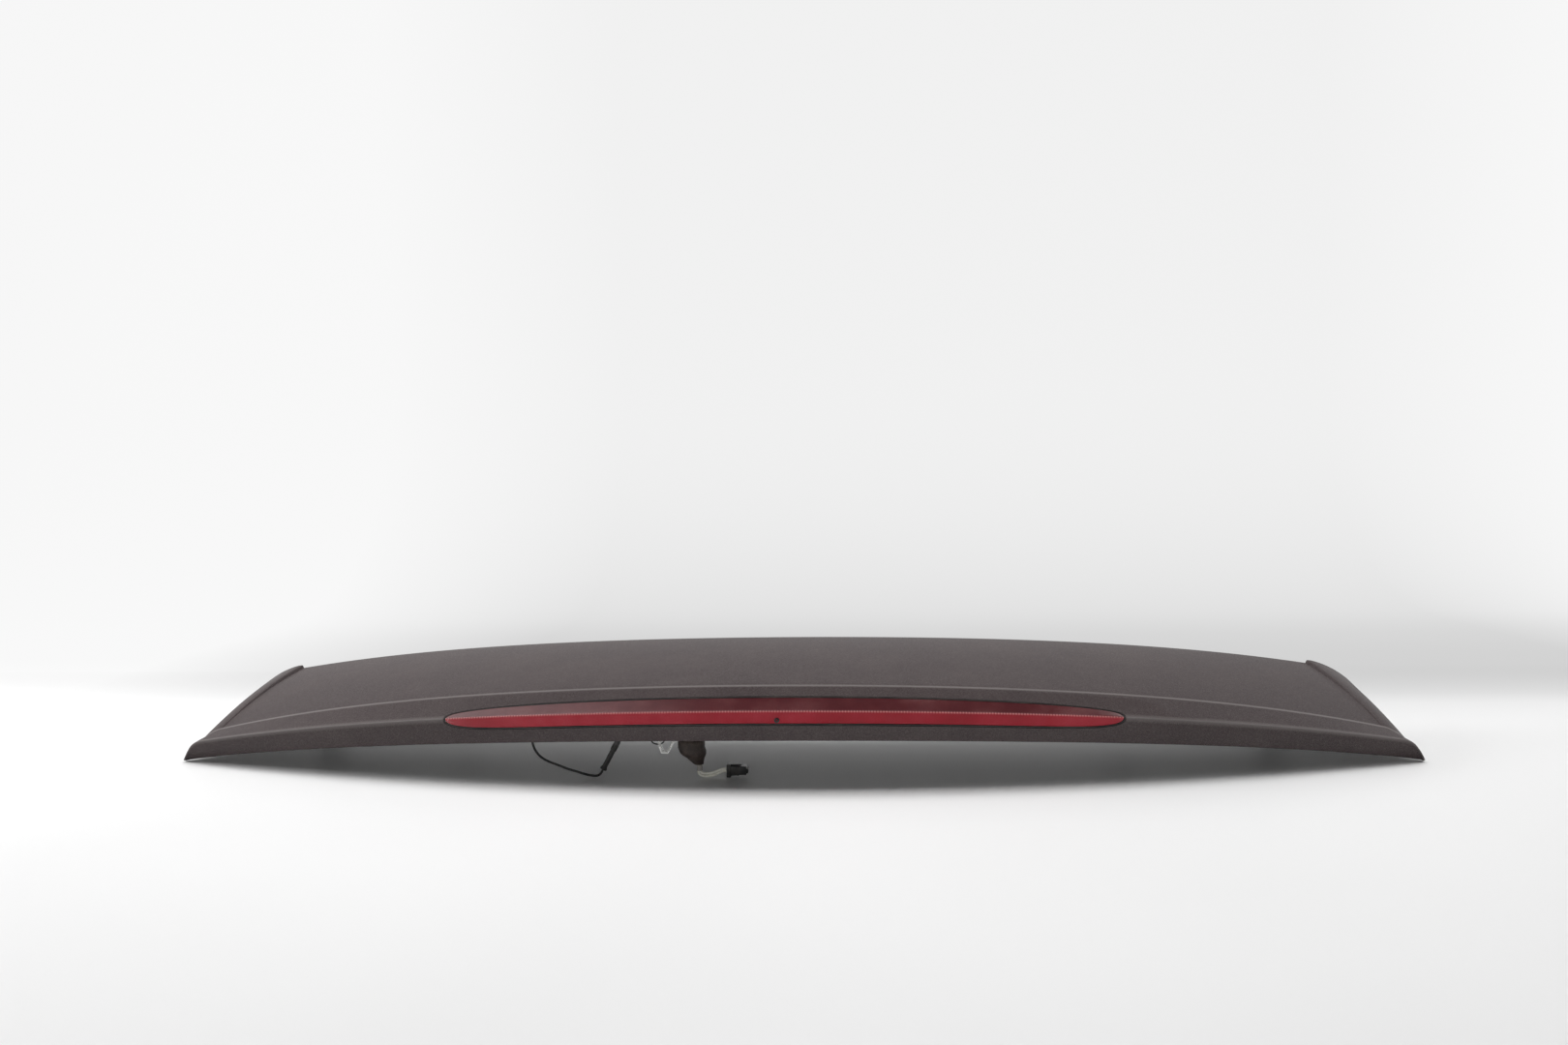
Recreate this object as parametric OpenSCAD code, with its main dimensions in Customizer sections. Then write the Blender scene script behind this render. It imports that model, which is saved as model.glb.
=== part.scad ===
// Rear roof spoiler with a high brake lamp, a washer jet and its wiring
// x runs across the car, -y points to the rear, z = 0 is the surface that the part rests on

/* [Outline] */
// Width over the two rear tips
tip_w = 1216; // [1140:4:1300]
// Length of the top at the middle, from the rear crease to the front edge
chord = 212; // [195:1:235]
// Forward sweep of the front edge, middle to tips
front_sweep = 48; // [30:1:65]
// Height of the front edge at the middle
front_z = 106; // [96:0.5:116]
// Fall of the front edge, middle to tips
front_fall = 48; // [40:0.5:56]
// Set-back of the upper crease from the rear crease
high_in = 30; // [24:0.5:36]
// Forward sweep of the upper crease
high_sweep = 92; // [84:1:100]
// Height of the upper crease at the middle
high_z = 89; // [85:0.5:93]
// Fall of the upper crease, middle to tips
high_fall = 67.5; // [62:0.5:70]
// Forward sweep of the rear crease
crease_sweep = 98; // [90:1:104]
// Height of the rear crease at the middle
crease_z = 71; // [68:0.5:74]
// Fall of the rear crease, middle to tips
crease_fall = 52.5; // [49:0.5:56]
// Set-back of the bottom edge from the rear crease
bottom_in = 6; // [2:0.5:10]
// Forward sweep of the bottom edge
bottom_sweep = 100; // [92:1:108]
// Height of the bottom edge at the middle
bottom_z = 42.5; // [38:0.5:46]
// Crown of the top between the front edge and the upper crease
skin_crown = 5; // [2:0.5:8]
// Length of each tip over which the creases close together
tip_run = 24; // [18:1:30]

/* [Shell] */
// Wall of the painted skin
skin_t = 2.8; // [2:0.1:3.2]
// Wall of the inner shell
inner_t = 2.5; // [1.8:0.1:3]
// Distance of the side rib from the tip line, at the front
rib_front_in = 55; // [48:1:62]
// Distance of the side rib from the tip line, at the upper crease
rib_rear_in = 34; // [28:1:40]
// Height of the side rib at its front end
rib_h = 3.5; // [2:0.5:6]
// Width of the side cheek outside the rib, at the front
cheek_w = 44; // [36:1:48]
// Fall of the side cheek from the rib to its lower edge, at the front
cheek_fall = 17; // [12:1:24]
// Depth of the turned-down front edge
front_flange = 11; // [6:1:16]
// Radius of the front edge
front_r = 3; // [2:0.5:4]
// Half length of the rounding along the upper crease
crease_round = 6; // [3:0.5:8]
// Width of the turned-in hem along the bottom edge
hem_w = 11; // [8:0.5:14]
// Height of the space between the skin and the inner shell at the front
box_h = 24; // [20:1:30]

/* [Brake lamp] */
// Half length of the lamp opening
lamp_half = 313; // [290:1:330]
// Height of the opening above the crease, along the upper band
lamp_up = 20; // [14:0.5:22]
// Height of the opening below the crease, along the lower band
lamp_down = 14; // [10:0.5:16]
// Width of the rubber seal round the lens
seal_w = 2.2; // [1.6:0.1:3]
// Wall of the lens
lens_t = 2.4; // [1.8:0.1:3]
// Depth of the lamp housing at the middle
housing_depth = 28; // [26:1:34]
// Wall of the lamp housing
housing_t = 1.5; // [1.2:0.1:1.8]
// Height of the circuit board strip
board_h = 7; // [6:0.5:7.5]
// Thickness of the circuit board
board_t = 1.6; // [1:0.1:2]
// Half length of the circuit board
board_half = 250; // [220:5:255]
// Number of light emitting diodes
led_count = 20; // [12:2:28]
// Width and height of one diode
led_w = 3.5; // [2.5:0.5:4.5]

/* [Washer jet] */
// Radius of the jet's nose in the lens
jet_r = 2.4; // [2:0.1:2.6]
// Radius of the jet's body behind the lens
jet_body_r = 4.2; // [3.5:0.1:5]
// Distance of the jet below the rear crease
jet_drop = 8.6; // [8:0.1:8.8]
// Outer radius of the inner washer hose
hose_r = 2.5; // [2:0.1:3]

/* [Mounting] */
// Radius of the mounting studs
stud_r = 3; // [2.5:0.5:4]
// Length of stud that stands below its boss
stud_free = 20; // [16:1:26]
// Half distance between the two inner studs
inner_stud_x = 180; // [150:5:200]
// Half distance between the two middle studs
middle_stud_x = 345; // [320:5:370]
// Distance of the outer studs from the tip line
outer_stud_in = 108; // [93:5:128]
// Distance of the studs behind the front edge
stud_back = 46; // [40:1:60]
// Height of the inner bosses' lower faces
boss_z_inner = 62; // [56:1:66]
// Height of the middle bosses' lower faces
boss_z_middle = 46; // [40:1:52]
// Radius of the bosses
boss_r = 13; // [10:0.5:15]
// Thickness of the foam ring round each stud
ring_t = 4; // [2:0.5:6]

/* [Wiring] */
// Diameter of each white wire
wire_d = 2.4; // [2:0.1:2.8]
// Diameter of the thin black lead
thin_d = 2.2; // [1.6:0.1:2.6]
// Radius of the rubber boot at the shell
boot_r = 12.6; // [10:0.2:14]
// Length of the plug
plug_l = 20; // [16:1:26]
// Height of the plug's collar
plug_h = 12; // [10:0.5:14]

/* [Hidden] */

// Places worked out from the sizes above
tip_x = tip_w / 2;
outer_stud_x = tip_x - outer_stud_in;
rib_front_x = tip_x - rib_front_in;
rib_rear_x = tip_x - rib_rear_in;
crease_x = rib_rear_x + 9;
bottom_x = rib_rear_x + 14;
high_tip_x = tip_x - 2;
tip_y = crease_sweep + 1;
high_tip_y = tip_y + 5;
high_tip_z = 2.4;
fit_gap = 0.3;
slip_gap = 0.2;
ridge_r = 1.2;
cheek_bow = 2.4;
hem_rise = 2;
centre_y = (chord + front_sweep * pow(rib_front_x / tip_x, 2)) / 2;

// Guide lines: set-back, sweep, height, fall, share of late fall, set-back and height at the tip
FRONT = [chord, front_sweep, front_z, front_fall, 0.33, chord + front_sweep, front_z - front_fall];
HIGH = [high_in, high_sweep, high_z, high_fall, 0.26, high_tip_y, high_tip_z];
CREASE = [0, crease_sweep, crease_z, crease_fall, 0.19, tip_y, high_tip_z / 2];
BOTTOM = [bottom_in, bottom_sweep, bottom_z, bottom_z, 0.28, tip_y + 4, 0];

function mix(a, b, f) = a + (b - a) * f;
function unit(v) = v / norm(v);
function flat(rows) = [for (row = rows) each row];
function square_share(x) = pow(x / tip_x, 2);
function tip_share(x) = pow(max(0, abs(x) - tip_x + tip_run) / tip_run, 3);
function line_y(g, x) =
    g[0] + g[1] * square_share(x) + (g[5] - g[0] - g[1]) * tip_share(x);
function line_z(g, x) =
    let (u = square_share(x))
    g[2] - g[3] * mix(u, u * u, g[4]) + (g[6] - g[2] + g[3]) * tip_share(x);
function line_pt(g, x) = [x, line_y(g, x), line_z(g, x)];

// Point on the top: w from -1 to 1 across, a from 0 at the front edge to 1 at the upper crease
function top_pt(w, a) =
    mix(line_pt(FRONT, w * rib_front_x), line_pt(HIGH, w * rib_rear_x), a)
    + [0, 0, skin_crown * 4 * a * (1 - a)];

// Point on a side cheek: e from 0 at the rib to 1 at the lower edge
function cheek_pt(side, a, e) =
    let (
        corner = top_pt(side, 0),
        p0 = top_pt(side, a),
        p2 = [
            side * (mix(rib_front_x + cheek_w, high_tip_x, a) + cheek_bow * 4 * a * (1 - a)),
            mix(corner.y, high_tip_y, a),
            mix(corner.z - cheek_fall, high_tip_z, a)
        ],
        p1 = [mix(p0.x, p2.x, 0.575), mix(p0.y, p2.y, 0.5), mix(p0.z, p2.z, 0.14)]
    )
    mix(mix(p0, p1, e), mix(p1, p2, e), e);

// Anchor points of the two rear bands in one column
function high_pt(w, e) = e == 0 ? line_pt(HIGH, w * rib_rear_x) : cheek_pt(w, 1, e);
function crease_pt(w, e) = line_pt(CREASE, w * mix(crease_x, tip_x, e));
function bottom_pt(w, e) = line_pt(BOTTOM, w * mix(bottom_x, tip_x, e));

// Height of the lamp outline above and below the crease
function lamp_u(w) = min(1, abs(w) * crease_x / lamp_half);
function rise_up(w) = lamp_up * pow(1 - pow(lamp_u(w), 2), 0.31);
function rise_down(w) = lamp_down * pow(1 - pow(lamp_u(w), 12), 0.42);
function band_share(rise, p, q) = min(max(rise, ridge_r) / norm(q - p), 0.62, max(0.3, rise));

/* Closed wall between two point grids; a cell for which open(i, j) is true is left out */
module sheet(outer, inner, open = function (i, j) false) {
    ni = len(outer);
    nj = len(outer[0]);
    there = function (i, j) i >= 0 && j >= 0 && i < ni - 1 && j < nj - 1 && !open(i, j);
    id = function (i, j) i * nj + j;
    rim = function (p, q) [[q, p, p + ni * nj], [q, p + ni * nj, q + ni * nj]];
    faces = [
        for (i = [0:ni - 2], j = [0:nj - 2]) if (there(i, j))
            let (a = id(i, j), b = id(i + 1, j), c = id(i + 1, j + 1), d = id(i, j + 1), n = ni * nj)
            each concat(
                [[a, b, c], [a, c, d], [a + n, c + n, b + n], [a + n, d + n, c + n]],
                there(i, j - 1) ? [] : rim(a, b),
                there(i + 1, j) ? [] : rim(b, c),
                there(i, j + 1) ? [] : rim(c, d),
                there(i - 1, j) ? [] : rim(d, a)
            )
    ];
    polyhedron(points = concat(flat(outer), flat(inner)), faces = faces);
}

// Inward unit normal of a point grid
function grid_n(g, i, j) =
    let (ni = len(g) - 1, nj = len(g[0]) - 1)
    unit(cross(g[min(i + 1, ni)][j] - g[max(i - 1, 0)][j], g[i][min(j + 1, nj)] - g[i][max(j - 1, 0)]));
function offset_grid(g, t) =
    [for (i = [0:len(g) - 1]) [for (j = [0:len(g[0]) - 1]) g[i][j] + t * grid_n(g, i, j)]];

// Tube swept along points, with round ends cut square
function frame_at(path, k) =
    let (
        n = len(path) - 1,
        along = unit(path[min(k + 1, n)] - path[max(k - 1, 0)]),
        side = unit(cross(along, abs(along.z) > 0.9 ? [0, 1, 0] : [0, 0, 1]))
    )
    [side, cross(along, side)];
module tube(path, r, sides = 8) {
    rings = [
        for (k = [0:len(path) - 1])
            let (f = frame_at(path, k))
            [for (m = [0:sides - 1]) path[k] + r * (cos(360 * m / sides) * f[0] + sin(360 * m / sides) * f[1])]
    ];
    n = len(path);
    polyhedron(
        points = flat(rings),
        faces = concat(
            [[for (m = [0:sides - 1]) m]],
            [[for (m = [sides - 1:-1:0]) (n - 1) * sides + m]],
            [
                for (k = [0:n - 2], m = [0:sides - 1])
                    let (a = k * sides + m, b = k * sides + (m + 1) % sides)
                    each [[a, a + sides, b + sides], [a, b + sides, b]]
            ]
        )
    );
}
// Smooth route through hand-chosen points, with a number of steps between each two
function route(p, steps) = [
    for (k = [0:len(p) - 2], m = [0:steps - 1])
        let (
            f = m / steps,
            a = p[max(k - 1, 0)], b = p[k], c = p[k + 1], d = p[min(k + 2, len(p) - 1)]
        )
        0.5 * (2 * b + (c - a) * f + (2 * a - 5 * b + 4 * c - d) * f * f
            + (3 * b - a - 3 * c + d) * f * f * f),
    p[len(p) - 1]
];

module seat() translate([0, -centre_y, 0]) children();

// Angles along half of the lamp outline, 0 at its end; the skin's columns and the lamp share them
LAMP_STEPS = 12;
ANGLES = concat([0, 45 / LAMP_STEPS], [for (k = [1:LAMP_STEPS]) 90 * k / LAMP_STEPS]);
// Columns of the painted skin: [across or side, share of the cheek, share of the rib's height]
lens_w = lamp_half / crease_x;
END_STEPS = 7;
CHEEK = [[0.04, 0.9], [0.12, 1], [0.35, 0.7], [0.6, 0.4], [0.82, 0.15], [1, 0]];
HALF_W = concat(
    [for (k = [len(ANGLES) - 1:-1:0]) lens_w * cos(ANGLES[k])],
    [for (k = [1:END_STEPS]) mix(lens_w, 1, k / END_STEPS)]
);
COLS = concat(
    [for (k = [len(CHEEK) - 1:-1:0]) [-1, CHEEK[k][0], CHEEK[k][1]]],
    [for (k = [len(HALF_W) - 1:-1:1]) [-HALF_W[k], 0, 0]],
    [for (k = [0:len(HALF_W) - 1]) [HALF_W[k], 0, 0]],
    [for (k = [0:len(CHEEK) - 1]) [1, CHEEK[k][0], CHEEK[k][1]]]
);
// Shares of the top at which its rows lie, and the row numbers that follow from them
TOP_A = [front_r / chord, 0.1, 0.24, 0.4, 0.56, 0.72, 0.86, 1 - crease_round / (chord - high_in)];
HIGH_ROW = 3 + len(TOP_A);
LAMP_ROW = HIGH_ROW + 3;

function skin_col(w, e) =
    let (
        top = function (a) e == 0 ? top_pt(w, a) : cheek_pt(w, a, e),
        f = top(0),
        h = high_pt(w, e),
        c = crease_pt(w, e),
        b = bottom_pt(w, e),
        hm = top(TOP_A[len(TOP_A) - 1]),
        hp = mix(h, c, min(0.4, crease_round / norm(c - h))),
        up = mix(c, h, band_share(e == 0 ? rise_up(w) : 0, c, h)),
        dn = mix(c, b, band_share(e == 0 ? rise_down(w) : 0, c, b)),
        hem = b + mix(1, 0.18, e) * [0, hem_w, e == 1 ? 0 : hem_rise]
    )
    concat(
        [f - [0, 0, front_flange * mix(1, 0.4, e)], f - [0, 0, front_r], f - front_r * [0, 0.3, 0.3]],
        [for (a = TOP_A) top(a)],
        [0.25 * hm + 0.5 * h + 0.25 * hp, hp, mix(hp, up, 0.5), up, c, dn, mix(dn, b, 0.5), b, hem]
    );
function rib_z(j) =
    j < 2 ? 0 : j == 2 ? rib_h * 0.6 : j < HIGH_ROW ? mix(rib_h, 0.6, TOP_A[j - 3]) : j == HIGH_ROW ? 0.3 : 0;
function skin_wall(e, j) = skin_t * (1 - 0.75 * e * max(0, min(1, (j - 4) / (HIGH_ROW - 4))));

module upper_shell() {
    base = [for (c = COLS) skin_col(c[0], c[1])];
    rows = [0:len(base[0]) - 1];
    outer = [for (i = [0:len(COLS) - 1]) [for (j = rows) base[i][j] + [0, 0, COLS[i][2] * rib_z(j)]]];
    inner = [
        for (i = [0:len(COLS) - 1])
            [for (j = rows) base[i][j] + skin_wall(COLS[i][1], j) * grid_n(base, i, j)]
    ];
    in_lamp = function (i) COLS[i][1] == 0 && abs(COLS[i][0]) < lens_w + 0.0001;
    color([0.35, 0.33, 0.33]) seat()
        sheet(outer, inner, function (i, j)
            (j == LAMP_ROW || j == LAMP_ROW + 1) && in_lamp(i) && in_lamp(i + 1));
}

// Inner shell: rear lip on the hem, panel, level ledge with the bosses, front rim and side walls
rim_in = 9;
ledge_in = 14;
ledge_w = stud_back + boss_r + 4 - ledge_in;
lower_rear_x = rib_rear_x - 12;
lower_front_x = rib_front_x - 10;
function side_x(y) =
    let (front_y = chord + front_sweep)
    min(lower_rear_x, mix(rib_front_x, rib_rear_x, (front_y - y) / (front_y - high_tip_y)) - 8);
function lower_col(xr, xf) =
    let (
        b = line_pt(BOTTOM, xr),
        f = line_pt(FRONT, xf),
        lip = skin_t + fit_gap + 0.2,
        r2 = b + [0, hem_w + 6, hem_rise + lip + 3],
        l0 = f - [0, ledge_in + ledge_w, box_h]
    )
    concat(
        [b + [0, 4, hem_rise * 4 / hem_w + lip], b + [0, hem_w, hem_rise + lip]],
        [for (k = [0:4]) mix(r2, l0, k / 5)],
        [l0, f - [0, ledge_in, box_h - 2], f - [0, rim_in, box_h * 0.6]],
        [[xf, f.y - rim_in + 1, skin_under_z(xf, f.y - rim_in - inner_t) - 2 * fit_gap]]
    );
function panel_z(x, y) = lookup(y, [for (p = lower_col(x, x)) [p.y, p.z]]);
function skin_under_z(x, y) =
    let (yf = line_y(FRONT, x), yh = line_y(HIGH, x), yc = line_y(CREASE, x), a = (yf - y) / (yf - yh))
    y < yh
        ? mix(line_z(CREASE, x), line_z(HIGH, x), (y - yc) / (yh - yc)) - 1.25 * skin_t - fit_gap
        : mix(line_z(FRONT, x), line_z(HIGH, x), a) + skin_crown * 4 * a * (1 - a)
            - 1.05 * skin_t - 2 * fit_gap;

// Studs: [x, y, height of the boss's lower face]
function stud_y(x) = line_y(FRONT, x) - stud_back;
STUDS = [
    for (s = [-1, 1]) each [
        [s * inner_stud_x, stud_y(inner_stud_x), boss_z_inner],
        [s * middle_stud_x, stud_y(middle_stud_x), boss_z_middle],
        [s * outer_stud_x, stud_y(outer_stud_x), stud_free]
    ]
];
clip_r = 3;
clip_pad_r = 8;
clip_x_inner = (inner_stud_x + middle_stud_x) / 2;
clip_x_outer = (middle_stud_x + outer_stud_x) / 2;
CLIPS = [
    for (x = [-clip_x_outer, -clip_x_inner, clip_x_inner, clip_x_outer])
        [x, stud_y(x), panel_z(x, stud_y(x)) - 5]
];
pad_z = bottom_z + 3.5;
stud_neck_r = stud_r + 0.8;
ring_hole_r = stud_r + 1.4;
pad_floor = 3;
pad_wall = 2.2;
boot_at = [-82.5, 40];
elbow_at = [-152, 40];
thin_at = [-234, 41];
holder_at = [-105, 40];
tie_at = [-115.2, 46];
tie_half = 6.9;
tie_r = 1.1;
thin_pad_r = 6;
elbow_pipe_r = 2.1;
elbow_flange_r = 5;
holder_post_r = 2;
boot_plug_r = boot_r * 0.6 - 0.4;
// Bosses and pads under the inner shell: [x, y, radius, height of the lower face]
PADS = concat(
    [for (p = STUDS) [p.x, p.y, boss_r, p.z]],
    [for (p = CLIPS) [p.x, p.y, clip_pad_r, p.z]],
    [
        [boot_at.x, boot_at.y, boot_r + 2, pad_z],
        [elbow_at.x, elbow_at.y, elbow_flange_r + 3, pad_z],
        [thin_at.x, thin_at.y, thin_pad_r, pad_z],
        [tie_at.x, tie_at.y, tie_half + tie_r + pad_wall + 1, pad_z],
        [holder_at.x, holder_at.y, holder_post_r + 4.5, pad_z]
    ]
);
// Holes through their floors: [x, y, radius, height]
HOLES = concat(
    [for (p = STUDS) [p.x, p.y, stud_neck_r + slip_gap, p.z]],
    [for (p = CLIPS) [p.x, p.y, clip_r + slip_gap, p.z]],
    [
        [boot_at.x, boot_at.y, boot_plug_r + 0.4, pad_z],
        [elbow_at.x, elbow_at.y, elbow_pipe_r + fit_gap, pad_z],
        [thin_at.x, thin_at.y, thin_d / 2 + slip_gap, pad_z],
        [tie_at.x - tie_half, tie_at.y, tie_r + fit_gap, pad_z],
        [tie_at.x + tie_half, tie_at.y, tie_r + fit_gap, pad_z],
        [holder_at.x, holder_at.y, holder_post_r + slip_gap, pad_z]
    ]
);
module pad(p) {
    translate([p[0], p[1], p[3]]) cylinder(r = p[2], h = panel_z(p[0], p[1]) + 4.5 - p[3], $fn = 48);
}
module pad_well(p) {
    translate([p[0], p[1], p[3] + pad_floor])
        cylinder(r = p[2] - pad_wall, h = panel_z(p[0], p[1]) + 8 - p[3] - pad_floor, $fn = 48);
}
module pad_hole(h) {
    translate([h[0], h[1], h[3] - 1]) cylinder(r = h[2], h = pad_floor + 2, $fn = 48);
}
module lower_shell() {
    half = [0, 0.08, 0.16, 0.25, 0.34, 0.43, 0.52, 0.61, 0.7, 0.79, 0.88, 0.965, 1];
    ws = concat([for (k = [len(half) - 1:-1:1]) -half[k]], half);
    side = lower_col(lower_rear_x, lower_front_x);
    grid = [
        for (w = ws)
            let (col = lower_col(w * lower_rear_x, w * lower_front_x))
            [
                for (j = [0:len(side) - 1])
                    let (p = col[j], x = w * side_x(side[j].y))
                    [x, p.y, abs(w) == 1 && j > 2 ? skin_under_z(x, p.y) - inner_t - 2 * fit_gap : p.z]
            ]
    ];
    color([0.09, 0.09, 0.1]) seat() difference() {
        union() {
            sheet(grid, offset_grid(grid, inner_t));
            for (p = PADS) pad(p);
        }
        for (p = PADS) pad_well(p);
        for (h = HOLES) pad_hole(h);
    }
}

// Rubber strip under the ledge, ahead of the bosses
module front_seal() {
    half = [for (k = [0:10]) 0.96 * k / 10];
    ws = concat([for (k = [10:-1:1]) -half[k]], half);
    strip = function (dz)
        [
            for (w = ws)
                let (f = line_pt(FRONT, w * lower_front_x), slope = 2 / ledge_w)
                [for (back = [11, 3]) f - [0, ledge_in + back, box_h - 2 + back * slope + dz]]
        ];
    color([0.05, 0.05, 0.05]) seat() sheet(strip(7), strip(fit_gap));
}

// Foam strips behind the lower edges of the cheeks
module cheek_seals() {
    rows = [for (k = [0:8]) mix(0.04, 0.72, k / 8)];
    for (side = [-1, 1]) {
        cols = side < 0 ? [0.93, 0.82, 0.7] : [0.7, 0.82, 0.93];
        grid = [for (e = cols) [for (a = rows) cheek_pt(side, a, e)]];
        color([0.12, 0.12, 0.12]) seat()
            sheet(offset_grid(grid, skin_t + 2 * fit_gap), offset_grid(grid, skin_t + 4));
    }
}

/* Brake lamp. theta runs from 0 at one end of the outline to 180 at the other */
function lamp_prof(theta, side) =
    let (u = abs(cos(theta)))
    side > 0 ? pow(max(0, 1 - u * u), 0.31) : pow(max(0, 1 - pow(u, 12)), 0.42);
function band_n(w, side) =
    let (d = 0.01, c = crease_pt(w, 0), along = crease_pt(w + d, 0) - crease_pt(w - d, 0))
    unit(cross(along, side > 0 ? c - high_pt(w, 0) : bottom_pt(w, 0) - c));
function lamp_w(theta, inset) = -cos(theta) * (lamp_half - inset) / crease_x;
function outline_pt(theta, side, inset, depth) =
    let (
        w = lamp_w(theta, inset),
        c = crease_pt(w, 0),
        q = side > 0 ? high_pt(w, 0) : bottom_pt(w, 0),
        rise = lamp_prof(theta, side) * ((side > 0 ? lamp_up : lamp_down) - inset),
        n = rise > 0.01 ? band_n(w, side) : unit(band_n(w, 1) + band_n(w, -1))
    )
    c + rise * unit(q - c) + depth * n;
LAMP_T = concat([for (a = ANGLES) a], [for (k = [len(ANGLES) - 2:-1:0]) 180 - ANGLES[k]]);
LENS_T = [for (t = LAMP_T) if (t > 0 && t < 180) t];
TRAY_T = [for (t = LAMP_T) if (t > 7 && t < 173) t];
jet_z = crease_z - jet_drop;

module along_y(y, z, x = 0) translate([x, y, z]) rotate([-90, 0, 0]) children();

module lamp_lens() {
    grid = [
        for (t = LENS_T)
            let (
                top = outline_pt(t, 1, seal_w, 0.3),
                low = outline_pt(t, -1, seal_w, 0.3),
                ridge = crease_pt(lamp_w(t, seal_w), 0)
            )
            concat(
                [for (f = [0, 0.5, 0.85, 1]) mix(top, ridge, f)],
                [for (f = [0.85, 0.5, 0]) mix(low, ridge, f)]
            )
    ];
    color([0.6, 0.06, 0.08]) seat() difference() {
        sheet(grid, offset_grid(grid, lens_t));
        along_y(-5, jet_z) cylinder(r = jet_r + fit_gap, h = 20, $fn = 40);
    }
}

module lamp_seal() {
    stops = concat(
        [for (t = LAMP_T) [t, 1]],
        [for (k = [len(LAMP_T) - 2:-1:1]) [LAMP_T[k], -1]]
    );
    m = len(stops);
    outer_in = fit_gap;
    inner_in = seal_w - fit_gap;
    depth = function (t) mix(0.8, lens_t + 2 * fit_gap, min(1, 4 * sin(t)));
    corners = [[outer_in, 0], [outer_in, 1], [inner_in, 1], [inner_in, 0]];
    color([0.03, 0.03, 0.03]) seat() polyhedron(
        points = [for (s = stops, c = corners) outline_pt(s[0], s[1], c[0], mix(0.2, depth(s[0]), c[1]))],
        faces = [
            for (k = [0:m - 1], q = [0:3])
                let (a = 4 * k, b = 4 * ((k + 1) % m), r = (q + 1) % 4)
                each [[a + q, a + r, b + r], [a + q, b + r, b + q]]
        ]
    );
}

// Section of the lamp's tray, moved inwards by a distance, its front edge cut back by another
tray_in = seal_w + 0.4;
function tray_back(t) = crease_pt(lamp_w(t, tray_in), 0).y + mix(10, housing_depth, sin(t));
function tray_row(t, inset, cut) =
    let (
        a = outline_pt(t, 1, tray_in, lens_t + 0.7),
        d = outline_pt(t, -1, tray_in, lens_t + 0.7),
        yb = tray_back(t) - inset,
        front_low = [d.x, d.y + cut, d.z + inset],
        front_top = [a.x, a.y + cut * 0.4, a.z - inset],
        low = [d.x, yb, d.z + inset],
        up = [a.x, yb, a.z - inset]
    )
    [front_low, mix(front_low, low, 0.5), low, mix(low, up, 0.5), up, front_top];

socket_x = -60;
socket_l = 11.4;
bracket_xs = [-205, -95, 95, 205];
screw_r = 1.5;
screw_l = 8;
screw_head_r = 3.6;
screw_head_h = 2.4;
function theta_at(x) = acos(-x / (lamp_half - tray_in));
function mid_z(x) =
    let (row = tray_row(theta_at(x), 0, 0))
    (row[2].z + row[4].z) / 2;

module lamp_housing() {
    grid = [for (t = TRAY_T) tray_row(t, 0, 0)];
    color([0.08, 0.08, 0.09]) seat() difference() {
        sheet(grid, offset_grid(grid, housing_t));
        along_y(1, jet_z) cylinder(r = jet_body_r + fit_gap, h = housing_depth + 12, $fn = 40);
        along_y(10, mid_z(socket_x), socket_x) cylinder(r = 4.5, h = 40, $fn = 40);
        for (x = bracket_xs)
            along_y(tray_back(theta_at(x)) - 8, mid_z(x), x) cylinder(r = screw_r + 0.1, h = 20, $fn = 24);
    }
}

module lamp_reflector() {
    rows = [for (t = TRAY_T) if (t > 14 && t < 166) tray_row(t, housing_t + fit_gap, 3)];
    color([0.8, 0.8, 0.8]) seat() difference() {
        sheet(rows, offset_grid(rows, 0.8));
        along_y(1, jet_z) cylinder(r = jet_body_r + 0.8, h = housing_depth + 12, $fn = 40);
        along_y(10, mid_z(socket_x), socket_x) cylinder(r = 4.8, h = 40, $fn = 40);
        for (x = bracket_xs)
            along_y(tray_back(theta_at(x)) - 10, mid_z(x), x) cylinder(r = 3, h = 20, $fn = 24);
    }
}

// Board strip and its diodes, ahead of the reflector's back
board_gap = 5.6;
function board_y(x) = tray_back(theta_at(x)) - board_gap;
function board_z(x) = mid_z(x);
module led_board() {
    xs = [for (k = [-10:10]) board_half * k / 10];
    half = board_h / 2;
    face = function (dy)
        [for (x = xs) [for (dz = [half, -half]) [x, board_y(x) + dy, board_z(x) + dz]]];
    color([0.1, 0.3, 0.15]) seat() difference() {
        sheet(face(-board_t), face(0));
        along_y(1, jet_z) cylinder(r = jet_body_r + 0.5, h = housing_depth + 12, $fn = 40);
    }
}
module leds() {
    pitch = 2 * (board_half - 8) / (led_count - 1);
    for (k = [0:led_count - 1]) {
        x = -board_half + 8 + k * pitch;
        turn = atan((board_y(x + 4) - board_y(x - 4)) / 8);
        lean = atan((board_z(x + 4) - board_z(x - 4)) / 8);
        color([0.95, 0.9, 0.7]) seat()
            translate([x, board_y(x) - board_t - 0.2, board_z(x)]) rotate([0, -lean, turn]) {
                translate([-led_w / 2, -1.8, -led_w / 2]) cube([led_w, 1.8, led_w]);
                translate([0, -1.7, 0]) rotate([90, 0, 0]) cylinder(r = led_w * 0.36, h = 0.7, $fn = 20);
            }
    }
}

// Lead socket pushed through the back of the housing
module lamp_socket() {
    y = tray_back(theta_at(socket_x));
    color([0.15, 0.15, 0.16]) seat() along_y(y, mid_z(socket_x), socket_x) {
        translate([0, 0, -board_gap + 0.2]) cylinder(r = 4.2, h = board_gap, $fn = 40);
        translate([0, 0, 0.4]) cylinder(r = 6.5, h = 2, $fn = 40);
        translate([0, 0, 2.4]) cylinder(r = 5, h = socket_l - 2.4, $fn = 40);
    }
}

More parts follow.
